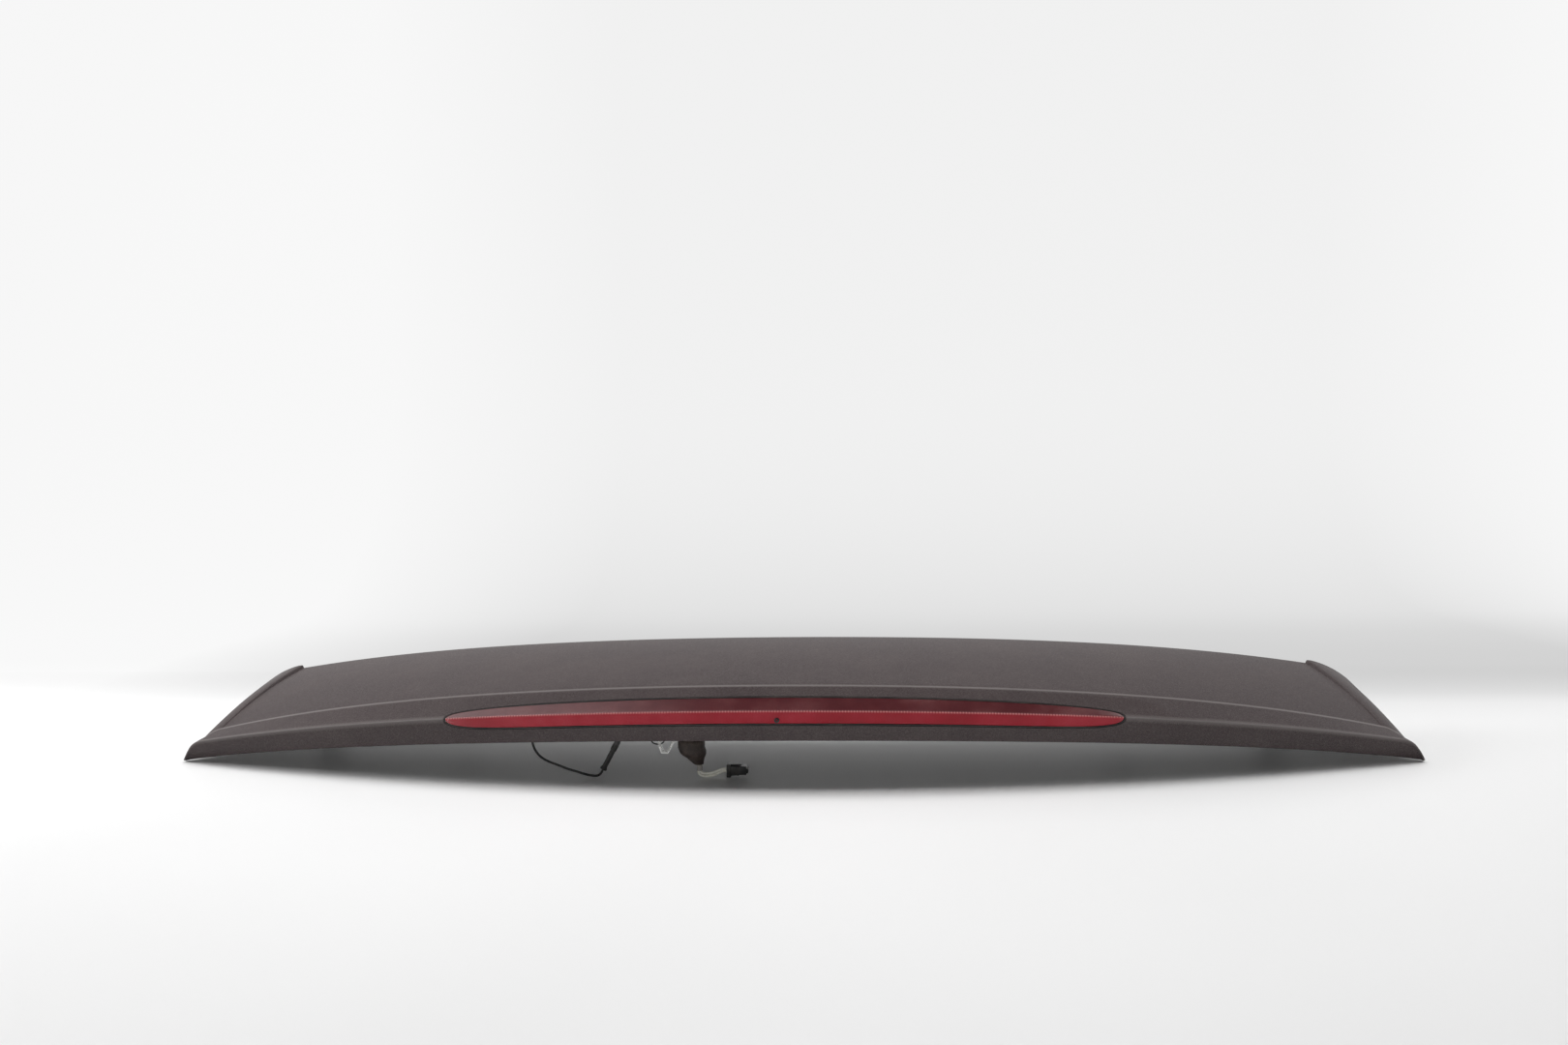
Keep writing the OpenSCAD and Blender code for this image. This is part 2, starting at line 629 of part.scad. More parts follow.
// Angle brackets bonded under the top, which hold the housing's back
bracket_w = 16;
bracket_t = 2;
bracket_foot = 15;
module lamp_brackets() {
    for (x = bracket_xs) {
        y0 = tray_back(theta_at(x)) + 1.6;
        z0 = mid_z(x) - 6;
        top = skin_under_z(x, y0) - 0.7;
        foot = skin_under_z(x, y0 + bracket_foot) - 0.7;
        color([0.2, 0.2, 0.21]) seat() difference() {
            translate([x - bracket_w / 2, 0, 0]) rotate([90, 0, 90]) linear_extrude(bracket_w)
                polygon([
                    [y0, z0], [y0 + bracket_t, z0], [y0 + bracket_t, top - bracket_t],
                    [y0 + bracket_foot, foot - bracket_t], [y0 + bracket_foot, foot], [y0, top]
                ]);
            along_y(y0 - 5, mid_z(x), x) cylinder(r = screw_r + 0.4, h = 12, $fn = 24);
        }
    }
}
module lamp_screws() {
    for (x = bracket_xs) {
        y0 = tray_back(theta_at(x)) + 1.6 + bracket_t;
        color([0.75, 0.76, 0.78]) seat() along_y(y0, mid_z(x), x) {
            translate([0, 0, -screw_l]) cylinder(r = screw_r, h = screw_l, $fn = 24);
            difference() {
                cylinder(r = screw_head_r, h = screw_head_h, $fn = 32);
                translate([0, 0, screw_head_h - 1.4]) cylinder(r = screw_r, h = 2, $fn = 6);
            }
        }
    }
}

// Jet: nose through the lens, body through the housing, flange behind it and a hose barb
barb_l = 11;
module washer_jet() {
    back = tray_back(90);
    flange_r = jet_body_r + 2;
    barb_r = hose_r - 0.7;
    color([0.04, 0.04, 0.04]) seat() translate([0, 0, jet_z]) rotate([-90, 0, 0]) difference() {
        rotate_extrude($fn = 48) polygon([
            [0, 0.9], [jet_r - 0.6, 0.9], [jet_r, 1.5], [jet_r, 9],
            [jet_body_r, 9], [jet_body_r, back + 0.4],
            [flange_r, back + 0.4], [flange_r, back + 3], [barb_r, back + 3], [barb_r, back + barb_l - 3],
            [barb_r + 0.4, back + barb_l - 2.5], [barb_r - 0.2, back + barb_l], [0, back + barb_l]
        ]);
        cylinder(r = 1, h = 5, $fn = 24);
    }
}
JET_ROUTE = [
    [0, 46, 62.6], [-5, 53, 65.5], [-18, 62, 68], [-50, 66, 69], [-100, 65, 69], [-136, 56, 68],
    [-149, 45, 65], [-152, 40, 61], [-152, 40, 56.2]
];
// Point of the hose, lifted clear of the inner shell's panel
function over_panel(p) = [p.x, p.y, max(p.z, panel_z(p.x, p.y) + inner_t + hose_r + 1)];
module jet_hose() {
    start = [0, tray_back(90) + barb_l + slip_gap, jet_z];
    path = concat([start], route([for (q = JET_ROUTE) over_panel(q)], 4));
    color([0.05, 0.05, 0.05]) seat() tube(path, hose_r, 8);
}

// Elbow under its pad, and the sleeve that hangs from it at a slant
sleeve_l = 26.5;
sleeve_r = 2.4;
sleeve_turn = 28.5;
sleeve_start = 3.4;
elbow_z = 34.5;
elbow_top = 55.7;
module slant() {
    translate([elbow_at.x, elbow_at.y, elbow_z]) rotate([0, sleeve_turn, 0]) mirror([0, 0, 1]) children();
}
module hose_elbow() {
    color([0.06, 0.06, 0.06]) seat() union() {
        translate([elbow_at.x, elbow_at.y, elbow_z])
            cylinder(r = elbow_pipe_r, h = elbow_top - elbow_z, $fn = 32);
        translate([elbow_at.x, elbow_at.y, pad_z - slip_gap - 3])
            cylinder(r = elbow_flange_r, h = 3, $fn = 40);
        translate([elbow_at.x, elbow_at.y, elbow_z]) sphere(r = 3.2, $fn = 32);
        slant() cylinder(r = elbow_pipe_r - 0.1, h = sleeve_start + 3.6, $fn = 32);
    }
}
module hose_sleeve() {
    color([0.04, 0.04, 0.04]) seat() slant() translate([0, 0, sleeve_start]) difference() {
        union() {
            cylinder(r = sleeve_r + 0.5, h = 6, $fn = 32);
            cylinder(r = sleeve_r, h = sleeve_l, $fn = 32);
            translate([0, 0, sleeve_l - 3]) cylinder(r1 = sleeve_r, r2 = sleeve_r + 1, h = 3, $fn = 32);
        }
        translate([0, 0, -1]) cylinder(r = elbow_pipe_r, h = 5, $fn = 32);
        translate([0, 0, sleeve_l - 4]) cylinder(r = thin_d / 2 + 0.15, h = 6, $fn = 24);
    }
}

// Threaded studs with flat heads and plain necks in the bosses, and the foam ring round each
module mounting_studs() {
    for (p = STUDS) {
        color([0.78, 0.78, 0.74]) seat() translate(p) rotate_extrude($fn = 48) polygon([
            [0, pad_floor + 3], [boss_r - pad_wall - 2, pad_floor + 3], [boss_r - pad_wall - 2, pad_floor],
            [stud_neck_r, pad_floor], [stud_neck_r, 0], [stud_r, 0], [stud_r, 0.8 - stud_free],
            [stud_r - 0.8, -stud_free], [0, -stud_free]
        ]);
    }
}
module stud_rings() {
    for (p = STUDS) {
        color([0.16, 0.16, 0.16]) seat() translate([p.x, p.y, p.z - ring_t]) difference() {
            cylinder(r = boss_r - 1, h = ring_t, $fn = 48);
            translate([0, 0, -1]) cylinder(r = ring_hole_r, h = ring_t + 2, $fn = 48);
        }
    }
}

// Push-in clips with ribbed shanks under the ledge
module trim_clips() {
    ribs = 4;
    rib_pitch = 3;
    for (p = CLIPS) {
        color([0.85, 0.85, 0.8]) seat() translate(p) rotate_extrude($fn = 32) polygon(concat(
            [[0, pad_floor + 2], [clip_r + 1.5, pad_floor + 2], [clip_r + 1.5, pad_floor], [clip_r, pad_floor],
             [clip_r, -0.1], [6, -0.1], [5, -2], [2, -2]],
            [
                for (k = [0:ribs - 1])
                    let (z = -2 - k * rib_pitch)
                    each [[2, z - 0.6], [3.6 - k * 0.3, z - 1.4], [2, z - 2.6]]
            ],
            [[1.2, -3 - ribs * rib_pitch], [0, -3 - ribs * rib_pitch]]
        ));
    }
}

// Boot under its pad: flange and ribbed barrel, with a neck that leans to one side
boot_bottom = 13;
neck_top = 28;
neck_shift = 6.5;
neck_r = 4.4;
sheath_r = 2.6;
module neck_axis(z) {
    translate([neck_shift, 0, boot_bottom]) rotate([0, -atan(neck_shift / (neck_top - boot_bottom)), 0])
        translate([0, 0, z]) children();
}
module harness_boot() {
    zt = pad_z - 0.2;
    color([0.1, 0.07, 0.06]) seat() translate([boot_at.x, boot_at.y, 0]) difference() {
        union() {
            rotate_extrude($fn = 48) polygon([
                [0, zt + 5], [boot_plug_r - 0.6, zt + 5], [boot_plug_r, zt + 3.6], [boot_plug_r, zt],
                [boot_r + 1, zt], [boot_r + 1, zt - 2.4], [boot_r - 1.6, zt - 3.4], [boot_r, zt - 5.4],
                [boot_r, zt - 7.4], [boot_r - 1.2, zt - 8.6], [boot_r, zt - 10], [boot_r, neck_top - 3],
                [boot_r - 1.2, neck_top - 6], [boot_r - 4, neck_top - 8], [0, neck_top - 8]
            ]);
            neck_axis(0) cylinder(r1 = neck_r, r2 = boot_r - 2, h = neck_top - boot_bottom - 2, $fn = 40);
        }
        neck_axis(-2) cylinder(r = sheath_r + 0.2, h = neck_top - boot_bottom + 4, $fn = 24);
        translate([0, 0, neck_top - 2]) cylinder(r = sheath_r + 0.2, h = zt - neck_top + 9, $fn = 24);
    }
}
INNER_ROUTE = [[-63, 55, 71], [-74, 57, 70], [-81, 48, 66], [-82.5, 41, 60]];
module inner_lead() {
    first = [socket_x, tray_back(theta_at(socket_x)) + socket_l + slip_gap, mid_z(socket_x)];
    last = [boot_at.x, boot_at.y, pad_z + 5];
    path = concat([first], route(concat([first + [0, 3, 0]], INNER_ROUTE, [last]), 3));
    color([0.1, 0.1, 0.1]) seat() tube(path, 2, 8);
}

// Grey sleeve out of the boot, and the two pale wires from it to the plug
SHEATH_ROUTE = [[-79.9, 40, 22], [-76, 40, 13], [-75.3, 40, 10], [-75.3, 40, 8.4], [-75.3, 40, 7]];
WIRE_ROUTE = [
    [-75.3, 40, 6.8], [-75.2, 40, 5.4], [-74.3, 40, 4.1], [-72, 40.4, 3], [-67.5, 41.4, 2.6], [-62.5, 42.8, 3.2],
    [-58, 44.2, 4.8], [-54, 45, 5.9], [-50.7, 45, 6]
];
wire_gap = 0.15;
plug_at = [-50.5, 45, 6];
module lead_sheath() {
    color([0.45, 0.44, 0.42]) seat() tube(route(SHEATH_ROUTE, 2), sheath_r, 10);
}
module lead_wire(side) {
    path = route(WIRE_ROUTE, 2);
    last = len(path) - 1;
    beside = [
        for (k = [0:last])
            let (across = unit(cross(path[min(k + 1, last)] - path[max(k - 1, 0)], [0, 1, 0])))
            path[k] + side * (wire_d + wire_gap) / 2 * (k == 0 ? [1, 0, 0] : k == last ? [0, 0, 1] : across)
    ];
    color([0.86, 0.84, 0.74]) seat() tube(beside, wire_d / 2, 8);
}
module lead_wire_left() lead_wire(-1);
module lead_wire_right() lead_wire(1);
module lead_plug() {
    color([0.05, 0.05, 0.05]) seat() translate(plug_at) rotate([0, 90, 0]) difference() {
        union() {
            translate([-plug_h / 2, -5, 0.1]) cube([plug_h, 10, 4]);
            translate([-plug_h * 0.38, -4, 4]) cube([plug_h * 0.76, 8, plug_l - 4]);
            translate([-plug_h * 0.38 - 1.2, -1.5, 4]) cube([1.4, 3, plug_l * 0.5]);
        }
        for (s = [-1, 1]) translate([-1.3, s * 2.1 - 1.1, plug_l - 7]) cube([2.6, 2.2, 8]);
    }
}
module plug_terminals() {
    for (s = [-1, 1])
        color([0.8, 0.65, 0.3]) seat() translate(plug_at) rotate([0, 90, 0])
            translate([-0.8, s * 2.1 - 0.6, plug_l - 6.9]) cube([1.6, 1.2, 5]);
}

// Thin lead: out of its pad, down to the table, back up into the sleeve
THIN_ROUTE = [
    [-233.9, 41, 38], [-232.8, 41, 31], [-230, 41, 24.5], [-225, 41, 19], [-218, 41, 15],
    [-209, 41, 11.5], [-200, 41, 8], [-190, 41, 5], [-182, 41, 2.6], [-176.5, 41, 1.6], [-172, 40.6, 1.9],
    [-169.3, 40.2, 3.6], [-167.4, 40, 6.3]
];
module thin_lead() {
    tip = [elbow_at.x, elbow_at.y, elbow_z] - (sleeve_start + sleeve_l - 3) * [sin(sleeve_turn), 0, cos(sleeve_turn)];
    path = concat([[thin_at.x, thin_at.y, pad_z + 2]], route(THIN_ROUTE, 2), [tip]);
    color([0.03, 0.03, 0.03]) seat() tube(path, thin_d / 2, 8);
}

// Clear holder: a post through its pad and a tapered loop below it
module harness_clip() {
    top = pad_z - 0.2;
    color([0.75, 0.75, 0.75, 0.6]) seat() translate([holder_at.x, holder_at.y, 0]) {
        translate([0, 0, top - 1]) cylinder(r = 2, h = 6, $fn = 32);
        translate([0, 2, 0]) rotate([90, 0, 0]) linear_extrude(4) difference() {
            polygon([
                [-9, top], [6.5, top], [6.5, top - 12], [0.5, top - 23], [-6, top - 22.5], [-9, top - 14]
            ]);
            polygon([
                [-6.5, top - 3], [4, top - 3], [4, top - 11.2], [-1, top - 20.5], [-4, top - 20.2],
                [-6.5, top - 13]
            ]);
        }
    }
}
// Black loop whose two ends sit in the pad
module clip_tie() {
    zc = 36;
    low = 29.1 + tie_r;
    path = concat(
        [[-tie_half, pad_z + 2], [-tie_half, zc]],
        [for (a = [15:15:165]) [-tie_half * cos(a), zc - (zc - low) * sin(a)]],
        [[tie_half, zc], [tie_half, pad_z + 2]]
    );
    color([0.04, 0.04, 0.04]) seat() tube([for (q = path) [tie_at.x + q[0], tie_at.y, q[1]]], tie_r, 8);
}

upper_shell();
lower_shell();
front_seal();
cheek_seals();
lamp_lens();
lamp_seal();
lamp_housing();
lamp_reflector();
led_board();
leds();
lamp_socket();
lamp_brackets();
lamp_screws();
washer_jet();
jet_hose();
hose_elbow();
hose_sleeve();
mounting_studs();
stud_rings();
trim_clips();
harness_boot();
inner_lead();
lead_sheath();
lead_wire_left();
lead_wire_right();
lead_plug();
plug_terminals();
thin_lead();
harness_clip();
clip_tie();
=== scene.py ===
# %% [markdown]
# A rear spoiler lies on a white table, with its brake lamp towards the camera.
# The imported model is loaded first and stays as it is. Every piece below is made
# in the same frame and in metres, so nothing has to be fitted by eye afterwards.

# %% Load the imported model
import math

import bmesh
import bpy
import numpy as np
from mathutils import Matrix, Vector
from mathutils.kdtree import KDTree


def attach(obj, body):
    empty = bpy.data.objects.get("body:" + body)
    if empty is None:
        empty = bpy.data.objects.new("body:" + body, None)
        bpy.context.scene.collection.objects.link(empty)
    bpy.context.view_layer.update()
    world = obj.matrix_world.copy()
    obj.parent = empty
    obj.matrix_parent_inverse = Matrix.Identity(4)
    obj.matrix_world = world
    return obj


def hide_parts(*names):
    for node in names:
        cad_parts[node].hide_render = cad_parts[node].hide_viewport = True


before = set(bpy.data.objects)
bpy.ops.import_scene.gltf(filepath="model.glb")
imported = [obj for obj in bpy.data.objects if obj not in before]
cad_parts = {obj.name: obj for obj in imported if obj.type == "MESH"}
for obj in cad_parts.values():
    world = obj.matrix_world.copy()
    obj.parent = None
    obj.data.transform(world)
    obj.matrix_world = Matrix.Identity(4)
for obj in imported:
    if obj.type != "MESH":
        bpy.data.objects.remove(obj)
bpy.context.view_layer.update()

# %% [markdown]
# The photograph was taken from just over the table with a wide lens. The camera's
# place and turn were worked out from the spoiler's own curves. It could be aimed
# at an empty, but three plain angles keep the roll of the picture as well.

# %% Camera
CAMERA_AT = Vector((0.073, -1.1619, 0.294))
YAW, PITCH, ROLL = (math.radians(a) for a in (-3.51, 3.0, -0.90))


def camera_axes():
    """The camera's right, up and forward directions."""
    right = Vector((math.cos(YAW), -math.sin(YAW), 0))
    ahead = Vector((math.sin(YAW), math.cos(YAW), 0)) * math.cos(PITCH)
    ahead = ahead - Vector((0, 0, 1)) * math.sin(PITCH)
    up = right.cross(ahead)
    turned_right = right * math.cos(ROLL) + up * math.sin(ROLL)
    turned_up = up * math.cos(ROLL) - right * math.sin(ROLL)
    return turned_right, turned_up, ahead


def new_object(name, data):
    """An object that shows the data, linked into the scene."""
    made = bpy.data.objects.new(name, data)
    bpy.context.scene.collection.objects.link(made)
    return made


data = bpy.data.cameras.new("camera")
data.sensor_width = 36
data.lens = 27
data.clip_start = 0.01
camera = new_object("camera", data)
right, up, ahead = camera_axes()
turn = Matrix((right, up, -ahead)).transposed().to_4x4()
camera.matrix_world = Matrix.Translation(CAMERA_AT) @ turn
bpy.context.scene.camera = camera
bpy.context.scene.view_settings.view_transform = "Standard"
print("camera at", tuple(CAMERA_AT))

# %% [markdown]
# Materials are made by a few small helpers, so that each finish reads as a short
# list of nodes. A node's input takes either a value or the socket it comes from.

# %% Helpers for materials
MATERIALS = {}


def feed(tree, node, inputs):
    """Give inputs of a node their values, or the sockets that they come from."""
    for key, value in inputs.items():
        if isinstance(value, bpy.types.NodeSocket):
            tree.links.new(value, node.inputs[key])
        else:
            node.inputs[key].default_value = value


def add(tree, kind, inputs=None, **settings):
    """A new shader node with its settings and its inputs filled in."""
    made = tree.nodes.new("ShaderNode" + kind)
    for key, value in settings.items():
        setattr(made, key, value)
    feed(tree, made, inputs or {})
    return made


def new_material(slot, shader_values):
    """The node tree of a new material, and its Principled shader."""
    made = bpy.data.materials.new(slot)
    made.use_nodes = True
    tree = made.node_tree
    tree.nodes.clear()
    shader = add(tree, "BsdfPrincipled", shader_values)
    add(tree, "OutputMaterial", {0: shader.outputs[0]})
    MATERIALS[slot] = made
    return tree, shader


def grey(value):
    return (value, value, value, 1)


def ramp(tree, value, stops):
    """A colour ramp over the value, from (position, colour) stops."""
    made = add(tree, "ValToRGB", {"Fac": value})
    while len(made.color_ramp.elements) < len(stops):
        made.color_ramp.elements.new(1)
    for element, (place, colour) in zip(made.color_ramp.elements, stops):
        element.position = place
        element.color = colour
    return made.outputs[0]


def span(tree, value, low, high, to_low=0.0, to_high=1.0):
    """The value moved from one range to another, and held there."""
    ends = {"From Min": low, "From Max": high, "To Min": to_low, "To Max": to_high}
    return add(tree, "MapRange", {"Value": value, **ends}).outputs[0]


def maths(tree, how, a, b):
    return add(tree, "Math", {0: a, 1: b}, operation=how).outputs[0]


def larger(tree, a, b):
    return maths(tree, "MAXIMUM", a, b)


def blend(tree, share, first, second):
    """The first colour, turned into the second by the share."""
    return add(tree, "Mix", {0: share, 6: first, 7: second}, data_type="RGBA").outputs[2]


def noise(tree, place, scale, detail=2.0, **more):
    values = {"Vector": place, "Scale": scale, "Detail": detail, **more}
    return add(tree, "TexNoise", values).outputs["Fac"]


def axis(tree, vector, number):
    """One number of a vector: 0 runs across, 1 back and 2 up."""
    return add(tree, "SeparateXYZ", {0: vector}).outputs[number]


def bump(tree, height, strength, distance):
    values = {"Height": height, "Strength": strength, "Distance": distance}
    return add(tree, "Bump", values).outputs[0]


# %% [markdown]
# Dust, fine scratches and moulded grain are on nearly every part of an old
# spoiler. Each could be painted as a picture, but a node group made of noise
# works at any scale and on any shape. It is built once and placed in each
# material with its own values.

# %% Shared wear group
def wear_group():
    tree = bpy.data.node_groups.new("old surface", "ShaderNodeTree")
    sizes = ("INPUT", ("Dust Size", "Scratch Size", "Grain Size"))
    for way, names in (sizes, ("OUTPUT", ("Dust", "Scratches", "Grain", "Mottle"))):
        for name in names:
            tree.interface.new_socket(name, in_out=way, socket_type="NodeSocketFloat")
    size = tree.nodes.new("NodeGroupInput").outputs
    place = add(tree, "TexCoord").outputs["Object"]
    broad = noise(tree, place, size["Dust Size"], 6.0, Roughness=0.62)
    fine = noise(tree, place, size["Grain Size"])
    stretch = {"Vector": place, "Rotation": (0.3, 0.2, 0.5), "Scale": (1.0, 9.0, 9.0)}
    stretched = add(tree, "Mapping", stretch).outputs[0]
    lines = noise(tree, stretched, size["Scratch Size"], 3.0, Distortion=0.4)
    specks = maths(tree, "MULTIPLY", span(tree, broad, 0.45, 0.75), span(tree, fine, 0.35, 0.7))
    scratches = span(tree, lines, 0.66, 0.74)
    leaving = tree.nodes.new("NodeGroupOutput")
    feed(tree, leaving, {"Dust": specks, "Scratches": scratches, "Grain": fine, "Mottle": broad})
    return tree


OLD_SURFACE = wear_group()


def old_surface(tree, dust, scratch, grain):
    """The shared group's outputs, in a material's tree and with its own sizes."""
    made = add(tree, "Group", node_tree=OLD_SURFACE)
    feed(tree, made, {"Dust Size": dust, "Scratch Size": scratch, "Grain Size": grain})
    return made.outputs


def mottled(tree, worn, low=0.0, high=1.0):
    """A value that wanders between low and high with the broad mottle."""
    return span(tree, worn["Mottle"], 0.3, 0.7, low, high)


def shades(tree, worn, colour, darker, lighter):
    """The colour, wandering between a darker and a lighter shade of itself."""
    dark = tuple(c * darker for c in colour) + (1,)
    light = tuple(min(1, c * lighter) for c in colour) + (1,)
    return blend(tree, mottled(tree, worn), dark, light)


def worn_material(slot, colour, dust_colour, dust_share, rough, grain_depth, sizes):
    """Rubber or plastic: mottled colour, dust in patches, fine grain in the relief."""
    tree, principled = new_material(slot, {"Metallic": 0.0})
    worn = old_surface(tree, *sizes)
    dusty = maths(tree, "MULTIPLY", worn["Dust"], dust_share)
    base = shades(tree, worn, colour, 0.7, 1.25)
    roughness = mottled(tree, worn, rough - 0.06, rough + 0.1)
    feed(tree, principled, {
        "Base Color": blend(tree, dusty, base, dust_colour + (1,)),
        "Roughness": maths(tree, "ADD", roughness, maths(tree, "MULTIPLY", dusty, 0.2)),
        "Normal": bump(tree, worn["Grain"], 0.35, grain_depth),
    })


# %% [markdown]
# Small parts under the spoiler: rubber, foam, moulded plastic and plated metal.
# They share one recipe and differ in colour, gloss, grain and how much dust lies
# on them.

# %% Plain moulded and plated finishes
DUST = (0.34, 0.31, 0.27)
WORN_FINISHES = {
    # slot: colour, dust colour, share of dust, roughness, depth of the grain,
    # and the sizes of dust, scratches and grain
    "inner_plastic": ((0.022, 0.022, 0.024), DUST, 0.35, 0.48, 0.00012, (9, 40, 1400)),
    "rubber": ((0.017, 0.016, 0.016), DUST, 0.3, 0.62, 0.00008, (30, 60, 1500)),
    "foam": ((0.035, 0.035, 0.036), DUST, 0.25, 0.92, 0.0006, (40, 60, 1100)),
    "board": ((0.02, 0.12, 0.05), DUST, 0.1, 0.35, 0.00004, (50, 60, 1200)),
    "diode": ((0.72, 0.66, 0.48), DUST, 0.1, 0.25, 0.00002, (90, 60, 1500)),
    "black_plastic": ((0.014, 0.014, 0.015), DUST, 0.4, 0.36, 0.00006, (60, 90, 1800)),
    "clip_plastic": ((0.62, 0.6, 0.52), DUST, 0.35, 0.45, 0.00005, (60, 90, 1500)),
    "boot_rubber": (
        (0.03, 0.02, 0.017), (0.28, 0.23, 0.19), 0.55, 0.6, 0.0002, (70, 90, 1300)),
    "sheath_grey": (
        (0.3, 0.285, 0.265), (0.5, 0.46, 0.4), 0.5, 0.7, 0.0002, (120, 90, 1800)),
    "wire_white": (
        (0.9, 0.87, 0.74), (0.5, 0.46, 0.36), 0.25, 0.4, 0.00004, (140, 90, 1500)),
}
for slot, finish in WORN_FINISHES.items():
    worn_material(slot, *finish)


def plated(slot, colour, rough):
    """Bare metal with fine scratches in the relief."""
    tree, principled = new_material(slot, {"Metallic": 1.0})
    worn = old_surface(tree, 80, 200, 1500)
    feed(tree, principled, {
        "Base Color": shades(tree, worn, colour, 0.72, 1.0),
        "Roughness": mottled(tree, worn, rough, rough + 0.15),
        "Normal": bump(tree, worn["Scratches"], 0.2, 0.00003),
    })


plated("zinc_steel", (0.6, 0.59, 0.55), 0.28)
plated("reflector", (0.82, 0.82, 0.82), 0.12)
plated("contact_brass", (0.72, 0.52, 0.2), 0.25)

# %% [markdown]
# The clear holder beside the boot is milky with age. It lets light through, but
# its scuffed faces scatter it, so the roughness carries the wear.

# %% Clear plastic
tree, principled = new_material(
    "clear_plastic", {"Metallic": 0.0, "IOR": 1.49, "Transmission Weight": 0.8}
)
worn = old_surface(tree, 120, 150, 1500)
milky, bright = (0.78, 0.78, 0.74, 1), (0.95, 0.95, 0.93, 1)
feed(tree, principled, {
    "Base Color": blend(tree, mottled(tree, worn), milky, bright),
    "Roughness": mottled(tree, worn, 0.12, 0.38),
    "Normal": bump(tree, worn["Grain"], 0.2, 0.0001),
})

# %% [markdown]
# The paint is a dark grey-brown with fine metal flake under clear lacquer. The
# flake could be real geometry, but at this size it is only a sparkle: small
# Voronoi cells change the colour of the base, and the lacquer above stays
# smooth apart from orange peel, dust and fine scratches. A pale line along the
# creases is a painted highlight in the base colour.

# %% Paint
FLAKE_DARK, FLAKE_MID = (0.044, 0.035, 0.035, 1), (0.066, 0.053, 0.054, 1)
FLAKE_BRIGHT, BROWN_TINT = (0.12, 0.102, 0.102, 1), (0.082, 0.064, 0.064, 1)
# the first colour here is a painted highlight for the creases, the second is dust
PAINTED_CREASE_HIGHLIGHT, PAINT_DUST = (0.22, 0.2, 0.195, 1), (0.36, 0.33, 0.31, 1)

tree, principled = new_material("paint", {
    "Metallic": 0.0, "Coat Roughness": 0.06, "Coat IOR": 1.5, "Specular IOR Level": 0.0,
})
place = add(tree, "TexCoord").outputs["Object"]
worn = old_surface(tree, 10, 45, 700)
flake = add(tree, "TexVoronoi", {"Vector": place, "Scale": 2600.0}).outputs["Color"]
sparkle = add(tree, "SeparateColor", {0: flake}).outputs[0]
base = ramp(tree, sparkle, [(0.0, FLAKE_DARK), (0.6, FLAKE_MID), (1.0, FLAKE_BRIGHT)])
tinted = blend(tree, mottled(tree, worn, 0.0, 0.35), base, BROWN_TINT)
# painted highlight: the base colour turns pale grey along the creases
crease = add(tree, "Attribute", attribute_name="crease").outputs["Fac"]
crease_highlighted = blend(tree, span(tree, crease, 0.1, 0.8, 0.0, 0.75), tinted, PAINTED_CREASE_HIGHLIGHT)
dusty = maths(tree, "MULTIPLY", worn["Dust"], 0.12)
peel = noise(tree, place, 260.0, 1.0)
relief = maths(tree, "ADD", peel, maths(tree, "MULTIPLY", worn["Scratches"], -0.5))
feed(tree, principled, {
    "Base Color": blend(tree, dusty, crease_highlighted, PAINT_DUST),
    "Roughness": span(tree, sparkle, 0.0, 1.0, 0.42, 0.3),
    "Coat Weight": span(tree, worn["Dust"], 0.0, 1.0, 0.22, 0.12),
    "Normal": bump(tree, relief, 0.08, 0.0002),
})

# %% [markdown]
# The lens is a deep red moulding. Its face is smooth, and fine upright prisms
# behind it spread the light. Real prisms would be seen only as a faint beat, so
# they are waves in the relief. The facet that faces up is painted darker than
# the one that faces down, a painted shade, and a dotted pale line along the
# ridge is a painted glint.

# %% Red lens
LOWER_REDS = (0.3, 0.012, 0.022, 1), (0.42, 0.02, 0.038, 1)
# the reds of the upward facet are darker: painted shade
SHADED_UPPER_REDS = (0.055, 0.003, 0.006, 1), (0.095, 0.006, 0.009, 1)
# the first colour is a painted glint along the ridge, the second is dust
PAINTED_RIDGE_GLINT, LENS_DUST = (0.72, 0.27, 0.27, 1), (0.4, 0.28, 0.27, 1)

tree, principled = new_material("lens_red", {
    "Metallic": 0.0, "IOR": 1.49, "Transmission Weight": 0.12,
    "Specular IOR Level": 0.08, "Coat Weight": 0.12, "Coat Roughness": 0.04,
})
place = add(tree, "TexCoord").outputs
worn = old_surface(tree, 25, 70, 1200)
# painted shade: faces that turn up take the darker reds
facets = span(tree, axis(tree, place["Normal"], 2), 0.1, 0.6)
patchy = mottled(tree, worn)
lower = blend(tree, patchy, *LOWER_REDS)
upper = blend(tree, patchy, *SHADED_UPPER_REDS)
waves = {"Vector": place["Object"], "Scale": 120.0, "Distortion": 0.0}
prisms = add(tree, "TexWave", waves, bands_direction="X").outputs["Fac"]
crease = add(tree, "Attribute", attribute_name="crease").outputs["Fac"]
# painted glint: pale beads along the ridge, set by the prism waves
along_ridge, beat = span(tree, crease, 0.2, 0.8), span(tree, prisms, 0.2, 0.8, 0.35, 1.0)
ridge_glints = maths(tree, "MULTIPLY", along_ridge, beat)
lit = blend(tree, ridge_glints, blend(tree, facets, lower, upper), PAINTED_RIDGE_GLINT)
dusty = maths(tree, "MULTIPLY", worn["Dust"], 0.08)
feed(tree, principled, {
    "Base Color": blend(tree, dusty, lit, LENS_DUST),
    "Roughness": mottled(tree, worn, 0.1, 0.2),
    "Normal": bump(tree, prisms, 0.12, 0.0002),
})
print("materials:", sorted(MATERIALS))

# %% [markdown]
# Every form here is either a grid of points that is closed into a wall, a round
# profile turned about an axis, or a row of rings along a line. A few short
# helpers make them all as plain vertices and faces.

# %% Helpers for shapes
CENTRE_Y = 125.854


def seat(points):
    """Millimetres from the crease to metres in the row frame."""
    return (np.asarray(points, float) - np.array([0, CENTRE_Y, 0])) / 1000


